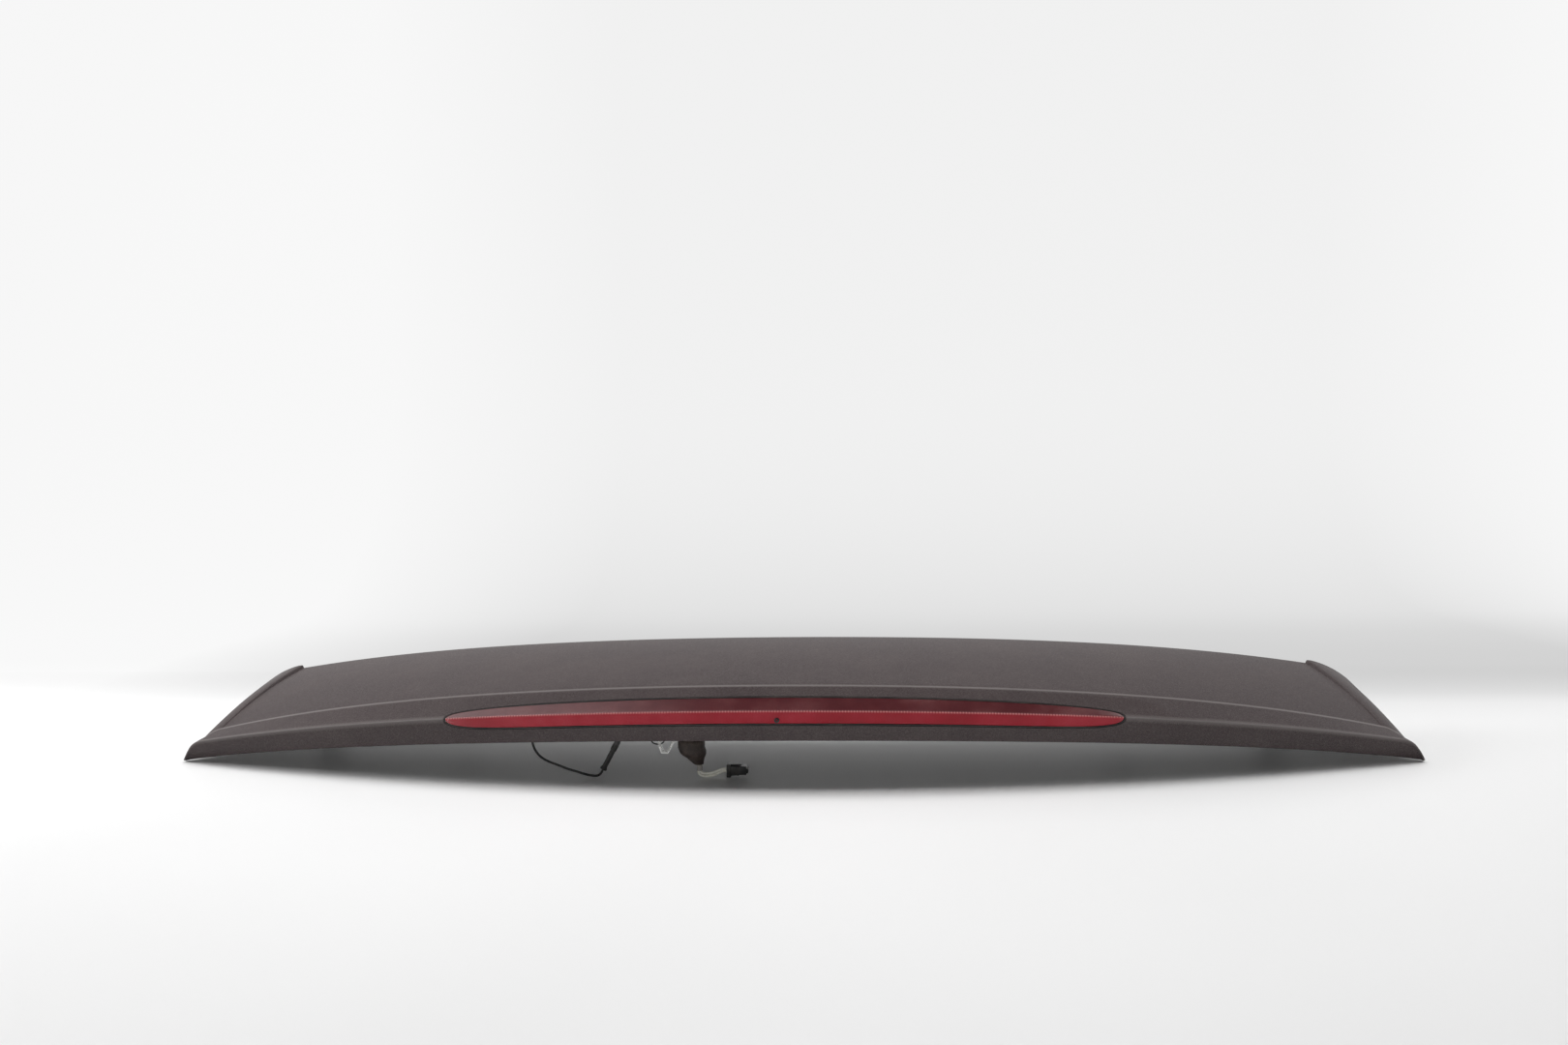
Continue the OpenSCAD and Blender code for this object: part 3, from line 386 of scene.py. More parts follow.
def new_piece(name, points, faces, slot, stands_for, sharp_deg=32):
    """A smooth shaded mesh piece that rides on the part, from points in millimetres."""
    mesh = bpy.data.meshes.new(name)
    corners = [tuple(int(i) for i in f) for f in faces]
    mesh.from_pydata([tuple(p) for p in seat(points)], [], corners)
    work = bmesh.new()
    work.from_mesh(mesh)
    bmesh.ops.remove_doubles(work, verts=work.verts, dist=1e-7)
    bmesh.ops.recalc_face_normals(work, faces=work.faces)
    work.to_mesh(mesh)
    work.free()
    mesh.shade_smooth()
    mesh.set_sharp_from_angle(angle=math.radians(sharp_deg))
    return dress(new_object(name, mesh), slot, stands_for)


def dress(piece, slot, stands_for):
    piece.data.materials.append(MATERIALS[slot])
    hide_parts(*stands_for)
    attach(piece, "root")
    return piece


def closed_wall(outer, inner, is_open=False):
    """Points and faces of a closed wall between two grids, without the cells where is_open."""
    ni, nj = outer.shape[:2]
    there = np.pad(np.ones((ni - 1, nj - 1), bool) & ~np.asarray(is_open), 1)
    back = ni * nj
    faces = []
    for i, j in np.argwhere(there) - 1:
        a, b = i * nj + j, (i + 1) * nj + j
        c, d = b + 1, a + 1
        faces += [(a, b, c, d), (a + back, d + back, c + back, b + back)]
        beside = there[i + 1, j], there[i + 2, j + 1], there[i + 1, j + 2], there[i, j + 1]
        for p, q, covered in zip((a, b, c, d), (b, c, d, a), beside):
            if not covered:
                faces.append((q, p, p + back, q + back))
    points = np.concatenate([outer.reshape(-1, 3), inner.reshape(-1, 3)])
    used = sorted({i for f in faces for i in f})
    place = {old: new for new, old in enumerate(used)}
    return points[used], [tuple(place[i] for i in f) for f in faces]


def rings_to_mesh(rings, caps=True):
    """Points and faces through a row of equal rings."""
    rings = np.asarray(rings, float)
    n, m = rings.shape[:2]
    faces = []
    for k in range(n - 1):
        for s in range(m):
            t = (s + 1) % m
            faces.append((k * m + s, k * m + t, (k + 1) * m + t, (k + 1) * m + s))
    if caps:
        faces.append(tuple(range(m - 1, -1, -1)))
        faces.append(tuple((n - 1) * m + s for s in range(m)))
    return rings.reshape(-1, 3), faces


def ring_piece(name, rings, slot, node, sharp_deg=32, caps=True):
    """One piece through a row of rings, in the place of one node."""
    return new_piece(name, *rings_to_mesh(rings, caps), slot, [node], sharp_deg)


def joined(meshes):
    """Points and faces of several meshes as one."""
    points, faces = [], []
    for more, quads in meshes:
        first = len(points)
        points.extend(more.tolist())
        faces.extend([tuple(i + first for i in f) for f in quads])
    return points, faces


def circle(steps):
    return np.linspace(0, 2 * math.pi, steps, endpoint=False)


def turned(profile, at, steps=64, back=False):
    """Rings of a (radius, distance) profile about an upright axis, or one that runs back."""
    rings = []
    for r, d in profile:
        ring = [(r * math.cos(a), r * math.sin(a)) for a in circle(steps)]
        rings.append([np.add(at, (x, d, -y) if back else (x, y, d)) for x, y in ring])
    return rings


def unit(vector):
    return vector / np.linalg.norm(vector)


def mix(a, b, f):
    return np.asarray(a, float) * (1 - f) + np.asarray(b, float) * f


def toward(a, b, distance, most):
    """The point at a distance from a towards b, or at the largest share of the way."""
    return mix(a, b, min(most, distance / np.linalg.norm(b - a)))


def heading(path, k):
    """Unit direction of a path at its point k, from the one before to the one after."""
    return unit(path[min(k + 1, len(path) - 1)] - path[max(k - 1, 0)])


def smooth_route(points, steps):
    """Curve through the points, with a number of steps between each two."""
    p = [np.array(q, float) for q in points]
    out = []
    for k in range(len(p) - 1):
        a, b, c, d = p[max(k - 1, 0)], p[k], p[k + 1], p[min(k + 2, len(p) - 1)]
        for m in range(steps):
            f = m / steps
            bend, twist = 2 * a - 5 * b + 4 * c - d, 3 * b - a - 3 * c + d
            out.append(0.5 * (2 * b + (c - a) * f + bend * f**2 + twist * f**3))
    return np.array(out + [p[-1]])


# %% [markdown]
# The leads come first, because their room is limited by what the camera sees.
# A lead could be a mesh tube, but a curve with a bevel is smooth and carries its
# own centre line. The points repeat the model's route.

# %% Leads
THIN_D, WIRE_D, WIRE_GAP = 2.2, 2.4, 0.15
ELBOW_AT, ELBOW_Z = (-152.0, 40.0), 34.5
SLEEVE_START, SLEEVE_L, TIP_IN, SLEEVE_TURN = 3.4, 26.5, 3.0, math.radians(28.5)
SLEEVE_WAY = np.array([-math.sin(SLEEVE_TURN), 0, -math.cos(SLEEVE_TURN)])
SLEEVE_TOP = np.array([*ELBOW_AT, ELBOW_Z])
THIN_ROUTE = [
    (-233.9, 41, 38), (-232.8, 41, 31), (-230, 41, 24.5), (-225, 41, 19), (-218, 41, 15),
    (-209, 41, 11.5), (-200, 41, 8), (-190, 41, 5), (-182, 41, 2.6), (-176.5, 41, 1.6),
    (-172, 40.6, 1.9), (-169.3, 40.2, 3.6), (-167.4, 40, 6.3),
]
WIRE_ROUTE = [
    (-75.3, 40, 6.8), (-75.2, 40, 5.4), (-74.3, 40, 4.1), (-72, 40.4, 3), (-67.5, 41.4, 2.6),
    (-62.5, 42.8, 3.2), (-58, 44.2, 4.8), (-54, 45, 5.9), (-50.7, 45, 6),
]


def lead_curve(name, points, diameter, slot, stands_for):
    """A lead as a bevelled curve through points in millimetres."""
    data = bpy.data.curves.new(name, "CURVE")
    data.dimensions = "3D"
    data.bevel_depth = diameter / 2000
    data.bevel_resolution = 6
    data.use_fill_caps = True
    spline = data.splines.new("POLY")
    spline.points.add(len(points) - 1)
    for place, p in zip(spline.points, seat(points)):
        place.co = (*p, 1)
    spline.use_smooth = True
    return dress(new_object(name, data), slot, stands_for)


thin_tip = SLEEVE_TOP + (SLEEVE_START + SLEEVE_L - TIP_IN) * SLEEVE_WAY
thin_path = np.vstack([[(-234, 41, 48)], smooth_route(THIN_ROUTE, 3), [thin_tip]])
thin_lead = lead_curve("thin_lead_cord", thin_path, THIN_D, "rubber", ["thin_lead"])


def wire_path(side):
    """One wire of the pair, beside the shared route."""
    path = smooth_route(WIRE_ROUTE, 3)
    last = len(path) - 1
    beside = []
    for k in range(last + 1):
        across = unit(np.cross(heading(path, k), (0, 1, 0)))
        if k in (0, last):
            across = np.array([0, 0, 1.0] if k else [1.0, 0, 0])
        beside.append(path[k] + side * (WIRE_D + WIRE_GAP) / 2 * across)
    start = beside[0] + np.array([0, 0, 4.0])
    return np.vstack([[start, beside[0] + np.array([0, 0, 2.0])], beside])


# %% [markdown]
# The plug is a black two-way connector with a collar, a latch and two windows
# for its brass contacts. Bevelled boxes joined in one mesh give it the soft edges
# of a moulding.

# %% Plug
PLUG_AT, PLUG_L, PLUG_H = (-50.5, 45.0, 6.0), 20.0, 12.0


def plug_boxes():
    """(low, high, edge) of collar, body, nose, latch, grip lines and the two windows."""
    body, nose = PLUG_H * 0.38, PLUG_L - 2.2
    boxes = [
        ((0.1, -5, -PLUG_H / 2), (4, 5, PLUG_H / 2), 0.6),
        ((3.6, -4, -body), (12, 4, body), 0.7),
        ((11.6, -4, 0.7 - body), (PLUG_L - 1.5, 4, body - 0.7), 0.6),
        ((3.8, -1.5, body - 0.3), (13.8, 1.5, body + 1.2), 0.35),
    ]
    for x in (5, 6.7, 8.4, 10.1):
        boxes.append(((x, -4.15, 1 - body), (x + 0.8, 4.15, body - 1), 0.12))
    for y in (-2.1, 2.1):
        boxes.append(((nose, y - 1.7, -2.2), (PLUG_L, y + 1.7, 2.2), 0.3))
    return boxes


def plug_piece():
    """The boxes with rounded edges, joined in one mesh."""
    work = bmesh.new()
    for low, high, edge in plug_boxes():
        low, high = np.array(low, float), np.array(high, float)
        made = bmesh.ops.create_cube(work, size=1)["verts"]
        for v in made:
            v.co = Vector((low + high) / 2 + np.array(v.co) * (high - low))
        edges = list({e for v in made for e in v.link_edges})
        bmesh.ops.bevel(work, geom=edges, offset=edge, segments=3, affect="EDGES", profile=0.5)
    work.verts.index_update()
    points = np.add([tuple(v.co) for v in work.verts], PLUG_AT)
    faces = [[v.index for v in f.verts] for f in work.faces]
    work.free()
    return new_piece("plug_housing", points, faces, "black_plastic", ["lead_plug"])


plug = plug_piece()
for side, word in ((-1, "left"), (1, "right")):
    points = wire_path(side)
    node = f"lead_wire_{word}"
    wire = lead_curve(node + "_cord", points, WIRE_D, "wire_white", [node])

# %% [markdown]
# Four long curves carry the whole shape: the front edge, the upper crease, the
# crease with the lamp, and the lower edge. Each has a set-back and a height in
# the middle, a sweep and a fall towards the tips, and a late turn into the tip.
# A subdivided cage would be quicker, but it would lose the crisp reflections,
# so the skin is worked out point by point from these curves.

# %% Guide curves
TIP_X, TIP_RUN = 608.0, 24.0
RIB_FRONT_X, RIB_REAR_X = TIP_X - 55, TIP_X - 34
CREASE_X, BOTTOM_X, HIGH_TIP_X = RIB_REAR_X + 9, RIB_REAR_X + 14, TIP_X - 2
CREASE_SWEEP, CHORD, FRONT_SWEEP = 98.0, 212.0, 48.0
TIP_Y = CREASE_SWEEP + 1
HIGH_TIP_Y, HIGH_TIP_Z = TIP_Y + 5, 2.4
SKIN_CROWN, SKIN_T, RIB_H, HEM_W, HEM_RISE = 5.0, 2.8, 3.5, 11.0, 2.0
FRONT_FLANGE, FRONT_R, CREASE_ROUND, RIDGE_R = 11.0, 3.0, 6.0, 1.2
CHEEK_W, CHEEK_FALL, CHEEK_BOW, HIGH_IN = 44.0, 17.0, 2.4, 30.0
FRONT = (CHORD, FRONT_SWEEP, 106.0, 48.0, 0.33, CHORD + FRONT_SWEEP, 58.0)
HIGH = (HIGH_IN, 92.0, 89.0, 67.5, 0.26, HIGH_TIP_Y, HIGH_TIP_Z)
CREASE = (0.0, CREASE_SWEEP, 71.0, 52.5, 0.19, TIP_Y, HIGH_TIP_Z / 2)
BOTTOM = (6.0, 100.0, 42.5, 42.5, 0.28, TIP_Y + 4, 0.0)
LAMP_HALF, LAMP_UP, LAMP_DOWN, SEAL_W, LENS_T, FIT_GAP = 313.0, 20.0, 14.0, 2.2, 2.4, 0.3
LENS_W = LAMP_HALF / CREASE_X
LAMP_QUARTER = [math.radians(t) for t in np.r_[0, 1, 2, 3, np.linspace(4.5, 90, 58)]]


def guide(curve, x):
    """Point of a guide curve at x."""
    u = (x / TIP_X) ** 2
    late = (max(0.0, abs(x) - TIP_X + TIP_RUN) / TIP_RUN) ** 3
    y0, sweep, z0, fall, share, tip_y, tip_z = curve
    y = y0 + sweep * u + (tip_y - y0 - sweep) * late
    z = z0 - fall * (u * (1 - share) + u * u * share) + (tip_z - z0 + fall) * late
    return np.array([x, y, z])


def top_point(w, a):
    p = mix(guide(FRONT, w * RIB_FRONT_X), guide(HIGH, w * RIB_REAR_X), a)
    return p + np.array([0, 0, SKIN_CROWN * 4 * a * (1 - a)])


def cheek_point(side, a, e):
    """Side cheek: e is 0 at the rib and 1 at the lower edge."""
    corner, p0 = top_point(side, 0), top_point(side, a)
    p2 = np.array([
        side * ((RIB_FRONT_X + CHEEK_W) * (1 - a) + HIGH_TIP_X * a + CHEEK_BOW * 4 * a * (1 - a)),
        corner[1] * (1 - a) + HIGH_TIP_Y * a,
        (corner[2] - CHEEK_FALL) * (1 - a) + HIGH_TIP_Z * a,
    ])
    p1 = p0 + (p2 - p0) * np.array([0.575, 0.5, 0.14])
    return mix(mix(p0, p1, e), mix(p1, p2, e), e)


def anchors(w, e):
    """Upper crease, lamp crease and lower edge in one column."""
    high = guide(HIGH, w * RIB_REAR_X) if e == 0 else cheek_point(w, 1, e)
    crease = guide(CREASE, w * (CREASE_X * (1 - e) + TIP_X * e))
    bottom = guide(BOTTOM, w * (BOTTOM_X * (1 - e) + TIP_X * e))
    return high, crease, bottom


def lamp_profile(u, side):
    """Share of the lamp's height at the share u of its half length; side 1 is above."""
    bend, bow = (2, 0.31) if side > 0 else (12, 0.42)
    return max(0.0, 1 - u**bend) ** bow


def lamp_reach(w):
    """Height of the lamp's outline above and below the crease."""
    u = min(1.0, abs(w) * CREASE_X / LAMP_HALF)
    return LAMP_UP * lamp_profile(u, 1), LAMP_DOWN * lamp_profile(u, -1)


def band_share(rise, p, q):
    return min(max(rise, RIDGE_R) / np.linalg.norm(q - p), 0.62, max(0.3, rise))


# %% [markdown]
# A grid's normals give every wall its thickness. They are taken between
# neighbours, as on any height field.

# %% Grid normals
def grid_normals(grid):
    """Inward unit normals of a grid of points."""
    normal = np.cross(np.gradient(grid, axis=0), np.gradient(grid, axis=1))
    return normal / np.maximum(np.linalg.norm(normal, axis=2, keepdims=True), 1e-9)


def arc(a, b, c, steps):
    """Points of a rounded corner from a to c that turns at b, without a itself."""
    return [mix(mix(a, b, t), mix(b, c, t), t) for t in np.linspace(0, 1, steps + 1)[1:]]


# %% [markdown]
# One column of the skin runs from the flange under the front edge, over the top,
# round the upper crease, past the lamp and round the lower edge to the hem.
# Columns lie closer at the lamp's ends and on the cheeks, where the form turns.

# %% Skin columns
TOP_STEPS, BAND_STEPS, RIDGE_STEPS, EDGE_ROUND = 30, 5, 6, 1.2
RIM_ROW, RIB_ROW, TOP_ROW, THINNER = 3, 5, 8, 0.75


def straight(a, b):
    """Points of a band from a to b, without a itself."""
    return [mix(a, b, t) for t in np.linspace(0, 1, BAND_STEPS + 1)[1:]]


def skin_column(w, e):
    """Points of one column, and the rows where the upper crease and the lamp begin."""
    top = (lambda a: top_point(w, a)) if e == 0 else (lambda a: cheek_point(w, a, e))
    high, crease, bottom = anchors(w, e)
    front = top(0)
    drop = np.array([0, 0, FRONT_FLANGE * (1 - 0.6 * e)])
    column = [front - drop, front - 0.5 * drop, front - np.array([0, 0, FRONT_R])]
    column += arc(column[-1], front, top(FRONT_R / CHORD), 5)
    last_a = 1 - CREASE_ROUND / (CHORD - HIGH_IN)
    column += [top(a) for a in np.linspace(FRONT_R / CHORD, last_a, TOP_STEPS)[1:]]
    below = toward(high, crease, CREASE_ROUND, 0.4)
    rim_from = len(column) - 1
    column += arc(column[-1], high, below, 8)
    rise, fall = lamp_reach(w) if e == 0 else (0, 0)
    up = mix(crease, high, band_share(rise, crease, high))
    down = mix(crease, bottom, band_share(fall, crease, bottom))
    column += straight(below, up)
    lamp_row = len(column) - 1
    column += arc(up, crease, down, RIDGE_STEPS)
    hem = bottom + (1 - 0.82 * e) * np.array([0, HEM_W, 0 if e == 1 else HEM_RISE])
    edge, turn = (toward(bottom, end, EDGE_ROUND, 0.3) for end in (down, hem))
    column += straight(down, edge)
    column += arc(edge, bottom, turn, 4)
    column += [mix(turn, hem, 0.5), hem]
    return column, rim_from, lamp_row


# height of the rib by the share of the cheek
RIB_TABLE = [
    (0, 0), (0.006, 0.04), (0.014, 0.3), (0.024, 0.72), (0.034, 0.9), (0.05, 0.97), (0.12, 1),
    (0.2, 0.9), (0.35, 0.7), (0.6, 0.4), (0.82, 0.15), (1, 0),
]
CHEEK_E = [
    0.006, 0.014, 0.024, 0.034, 0.05, 0.075, 0.12, 0.17, 0.23, 0.3, 0.37, 0.44, 0.52, 0.6,
    0.68, 0.76, 0.83, 0.89, 0.94, 0.975, 1.0,
]


def column_list():
    """(across or side, share of the cheek) for every column, left to right."""
    lamp = [LENS_W * math.cos(t) for t in LAMP_QUARTER]
    ends = [LENS_W + (1 - LENS_W) * k / 24 for k in range(1, 25)]
    half = sorted(lamp + ends)
    cheek = [(1.0, e) for e in CHEEK_E]
    right = [(w, 0.0) for w in half if w > 1e-6] + cheek
    return [(-w, e) for w, e in reversed(right)] + [(0.0, 0.0)] + right


COLUMNS = column_list()
print("skin columns:", len(COLUMNS))

# %% [markdown]
# The skin is a wall of about 2.8 mm. Two low ribs stand along the sides of the
# top, highest at the front edge, and run out into the cheeks. The cells under the
# lamp are left open, so the lamp sits in a real opening.

# %% Painted skin
def painted_skin():
    columns = [skin_column(w, e) for w, e in COLUMNS]
    base = np.array([c[0] for c in columns])
    rim_from, lamp_row = columns[0][1], columns[0][2]
    rows = base.shape[1]
    outer = base.copy()
    stops = [RIM_ROW - 1, RIM_ROW, RIB_ROW, rim_from, rim_from + 5]
    rib = np.interp(np.arange(rows), stops, [0, 0.6 * RIB_H, RIB_H, 0.6, 0])
    cheek = [e for _, e in COLUMNS]
    outer[..., 2] += np.outer(np.interp(cheek, *zip(*RIB_TABLE)), rib)
    late = np.clip((np.arange(rows) - TOP_ROW) / (rim_from - TOP_ROW), 0, 1)
    thick = SKIN_T * (1 - THINNER * np.outer(cheek, late))
    inner = base + thick[..., None] * grid_normals(base)
    in_lamp = np.array([e == 0 and abs(w) < LENS_W + 1e-4 for w, e in COLUMNS])
    is_open = np.zeros((len(COLUMNS) - 1, rows - 1), bool)
    is_open[in_lamp[:-1] & in_lamp[1:], lamp_row:lamp_row + RIDGE_STEPS] = True
    wall = closed_wall(outer, inner, is_open)
    return new_piece("painted_skin", *wall, "paint", ["upper_shell"], 40)


skin = painted_skin()
print("painted skin faces:", len(skin.data.polygons))

# %% [markdown]
# Along the two creases the paint carries a painted highlight, a fine pale line,
# and the lens ridge a dotted one. Each point of the mesh stores how near it lies
# to the two creases, and the material reads that value.

# %% Crease lines
def crease_line(which):
    """Points half a millimetre apart on a crease: 0 is the upper one, 1 the lamp's."""
    line = np.array([anchors(w, e)[which] for w, e in COLUMNS])
    run = np.r_[0, np.cumsum(np.linalg.norm(np.diff(line, axis=0), axis=1))]
    dense = np.arange(0, run[-1], 0.5)
    return np.stack([np.interp(dense, run, line[:, k]) for k in range(3)], axis=1)


CREASE_LINES = np.concatenate([crease_line(0), crease_line(1)])


def mark_creases(piece, reach):
    """Store on each point 1 at a crease, falling to 0 at the reach in millimetres."""
    tree = KDTree(len(CREASE_LINES))
    for index, point in enumerate(seat(CREASE_LINES)):
        tree.insert(point, index)
    tree.balance()
    away = [1000 * tree.find(vertex.co)[2] for vertex in piece.data.vertices]
    near = [max(0.0, 1 - distance / reach) for distance in away]
    stored = piece.data.attributes.new("crease", "FLOAT", "POINT")
    stored.data.foreach_set("value", near)
    print(piece.name, "points on a crease:", sum(value > 0.3 for value in near))


mark_creases(skin, 2.4)

# %% [markdown]
# The lamp's outline is worked out on the two bands themselves, as angles from one
# end to the other. The lens is two long facets that meet in a ridge along the
# crease, and it is only a little proud of the paint.

# %% Lamp outline
def lamp_across(theta, inset):
    return -math.cos(theta) * (LAMP_HALF - inset) / CREASE_X


def band_normal(w, side):
    ahead, behind = anchors(w + 0.01, 0)[1], anchors(w - 0.01, 0)[1]
    high, crease, bottom = anchors(w, 0)
    return unit(np.cross(ahead - behind, crease - high if side > 0 else bottom - crease))


def outline(theta, side, inset, depth):
    """Point of the lamp's outline, moved in by inset and behind the paint by depth."""
    w = lamp_across(theta, inset)
    high, crease, bottom = anchors(w, 0)
    end = high if side > 0 else bottom
    height = (LAMP_UP if side > 0 else LAMP_DOWN) - inset
    rise = lamp_profile(abs(math.cos(theta)), side) * height
    normal = band_normal(w, side)
    if rise <= 0.01:
        normal = unit(band_normal(w, 1) + band_normal(w, -1))
    return crease + rise * unit(end - crease) + depth * normal


LAMP_ANGLES = LAMP_QUARTER + [math.pi - t for t in reversed(LAMP_QUARTER[:-1])]

# %% [markdown]
# The lens wall has a small round at its ridge, so that it catches one thin line
# of light as the real one does.

# %% Lens
JET_Z, JET_R, RIDGE_ROUND = 62.4, 2.4, 1.1


def brake_lens():
    grid = []
    for theta in LAMP_ANGLES[1:-1]:
        top = outline(theta, 1, SEAL_W, 0.3)
        low = outline(theta, -1, SEAL_W, 0.3)
        ridge = anchors(lamp_across(theta, SEAL_W), 0)[1]
        near_up, near_low = (toward(ridge, end, RIDGE_ROUND, 0.45) for end in (top, low))
        column = [mix(top, near_up, t) for t in (0, 0.04, 0.2, 0.4, 0.6, 0.8, 1)]
        column += arc(near_up, ridge, near_low, 5)
        column += [mix(near_low, low, t) for t in (0.2, 0.4, 0.6, 0.8, 0.96, 1)]
        grid.append(column)
    outer = np.array(grid)
    wall = closed_wall(outer, outer + LENS_T * grid_normals(outer))
    return new_piece("brake_lens", *wall, "lens_red", ["lamp_lens"])


lens = brake_lens()
mark_creases(lens, 1.6)

# %% [markdown]
# The seal is a soft bead pressed between lens and paint. A rounded section swept
# round the outline gives it the thin dark line that sets the lamp off.

# %% Lens seal
stops = [(t, 1) for t in LAMP_ANGLES] + [(t, -1) for t in reversed(LAMP_ANGLES[1:-1])]
rings = []
for theta, side in stops:
    deep = 0.8 + (LENS_T + 2 * FIT_GAP - 0.8) * min(1.0, 4 * math.sin(theta))
    section = [
        (0.25, 0.5), (0.45, 0.12), (0.9, -0.12), (1.4, -0.12), (1.75, 0.1), (1.95, 0.5),
        (1.9, deep), (0.3, deep),
    ]
    rings.append([outline(theta, side, inset, depth) for inset, depth in section])
ring_piece("lens_seal", rings + rings[:1], "rubber", "lamp_seal", 50, caps=False)

# %% [markdown]
# The washer jet is a small black nose with a hole. It is turned as one profile
# and laid along the depth of the part.

# %% Washer jet
back = anchors(lamp_across(math.pi / 2, SEAL_W + 0.4), 0)[1][1] + 28.0
jet_profile = [
    (0.01, 4.6), (0.7, 4.5), (0.75, 1.1), (0.95, 0.9), (JET_R - 0.5, 0.9), (JET_R - 0.12, 1.05),
    (JET_R, 1.45), (JET_R, 9), (4.0, 9), (4.2, 9.3), (4.2, back + 0.4), (6.2, back + 0.4),
    (6.2, back + 3), (1.8, back + 3), (1.8, back + 8), (2.2, back + 8.5), (1.6, back + 11),
    (0.01, back + 11),
]
jet_rings = turned(jet_profile, (0, 0, JET_Z), 48, back=True)
ring_piece("jet_nose", jet_rings, "black_plastic", "washer_jet")

# %% [markdown]
# The boot is a bellows of brown-black rubber. Its rings are round at the shell
# and lean over to the neck, where the grey sleeve comes out. Rings along a bent
# axis make it in one piece, and small lumps keep it from looking machined.

# %% Rubber boot
PAD_Z = 46.0
BOOT_AT, BOOT_R, BOOT_BOTTOM, NECK_TOP, NECK_SHIFT = (-82.5, 40.0), 12.6, 13.0, 28.0, 6.5
BOOT_STEPS = 64

top = PAD_Z - 0.2
outside = [
    (BOOT_R + grow, top - down) for grow, down in (
        (0.6, 0), (1, 0.5), (1, 2), (0.5, 2.5), (-1.2, 3), (-1.6, 3.8), (-0.6, 4.8), (0, 5.6),
        (0, 7.2), (-0.9, 8.2), (-1.2, 8.8), (-0.5, 9.6), (0, 10.4),
    )
]
shoulder = [(0, -1), (-0.1, 2.5), (-0.9, 5), (-2.6, 7)]
outside += [(BOOT_R + grow, NECK_TOP - down) for grow, down in shoulder]
neck = [(8.6, 19.6), (7.4, 17.8), (6.3, 16.2), (5.4, 14.8), (4.7, 13.6), (4.4, 13.1)]
inside = BOOT_R * 0.6 - 0.4
rings = turned([(inside - 0.6, 5), (inside, 3.6), (inside, 0)], (*BOOT_AT, top), BOOT_STEPS)
for r, z in outside + neck:
    lean = max(0.0, (NECK_TOP - z) / (NECK_TOP - BOOT_BOTTOM))
    shift = NECK_SHIFT * lean ** 1.1
    ring = []
    for a in circle(BOOT_STEPS):
        waves = 0.012 * math.sin(3 * a + z) + 0.008 * math.sin(7 * a - 0.7 * z)
        lumpy = r * (1 + waves * (z < top - 3))
        x, y = shift + lumpy * math.cos(a), lumpy * math.sin(a)
        ring.append((BOOT_AT[0] + x, BOOT_AT[1] + y, z))
    rings.append(ring)
mouth = np.array(rings[-1])
centre = mouth.mean(axis=0)
for size, shift in ((0.66, (0, 0, 0.2)), (0.64, (-0.6, 0, 5.0))):
    rings.append(centre + (mouth - centre) * size + np.array(shift))
ring_piece("rubber_boot", rings, "boot_rubber", "harness_boot", 50)

# %% [markdown]
# The grey sleeve and the black sleeve are soft tubes with a wall, so that the
# leads really go into them.

# %% Sleeves and elbow
def tube_rings(path, radius, steps=32):
    """Rings of the given radii along a path of points."""
    path = np.asarray(path, float)
    rings = []
    for k, r in enumerate(np.broadcast_to(radius, len(path))):
        along = heading(path, k)
        side = unit(np.cross(along, (0, 1, 0)))
        other = np.cross(along, side)
        ring = [math.cos(a) * side + math.sin(a) * other for a in circle(steps)]
        rings.append([path[k] + r * p for p in ring])
    return rings


SHEATH_ROUTE = [(-79.9, 40, 22), (-76, 40, 13), (-75.3, 40, 10), (-75.3, 40, 8.4), (-75.3, 40, 7)]
sheath_path = smooth_route(SHEATH_ROUTE, 4)
outside, inside = tube_rings(sheath_path, 2.6), tube_rings(sheath_path, 2.35)
sheath_rings = outside + inside[::-1] + outside[:1]
ring_piece("grey_sheath", sheath_rings, "sheath_grey", "lead_sheath", caps=False)

sleeve_run = [3.4, 3.6, 9.0, 9.4, 9.8, 14, 19, 23, 26.9, 27.6, 28.6, 29.6, 29.9]
sleeve_radius = [2.6, 2.9, 2.9, 2.75, 2.4, 2.4, 2.4, 2.4, 2.4, 2.7, 3.1, 3.4, 3.2]
sleeve_path = [SLEEVE_TOP + d * SLEEVE_WAY for d in sleeve_run]
mouth = tube_rings([sleeve_path[-1], SLEEVE_TOP + 26 * SLEEVE_WAY], [1.4, 1.3])
sleeve_rings = tube_rings(sleeve_path, sleeve_radius) + mouth
ring_piece("black_sleeve", sleeve_rings, "rubber", "hose_sleeve")

stem = [(*ELBOW_AT, z) for z in (55.7, 46, 45.8, 45.5, 43.2, 42.8, 42.7, 39)]
bend = [SLEEVE_TOP + d for d in (np.array([0, 0, 1.5]), 1.5 * SLEEVE_WAY, 6.8 * SLEEVE_WAY)]
elbow_radius = [2.1, 2.1, 4.7, 5.0, 5.0, 4.7, 2.3, 2.5, 3.1, 3.0, 1.95]
ring_piece("elbow", tube_rings(stem + bend, elbow_radius), "black_plastic", "hose_elbow")

# %% [markdown]
# The hidden hose runs from the jet's tail to the elbow, inside the shell.

# %% Inner hose
JET_ROUTE = [
    (0, 46, 62.6), (-5, 53, 65.5), (-18, 62, 68), (-50, 66, 69), (-100, 65, 69), (-136, 56, 68),
    (-149, 45, 65), (-152, 40, 61), (-152, 40, 56.2),
]
JET_TAIL = (0, 39.2, JET_Z)
hose_path = np.vstack([[JET_TAIL], smooth_route(JET_ROUTE, 6)])
ring_piece("inner_hose", tube_rings(hose_path, 2.5, 20), "rubber", "jet_hose")

# %% [markdown]
# The clear holder is a tapered loop. Its bar is square, and a bevel modifier
# rounds it as on a moulding. The strap loop beside it is a flat band.

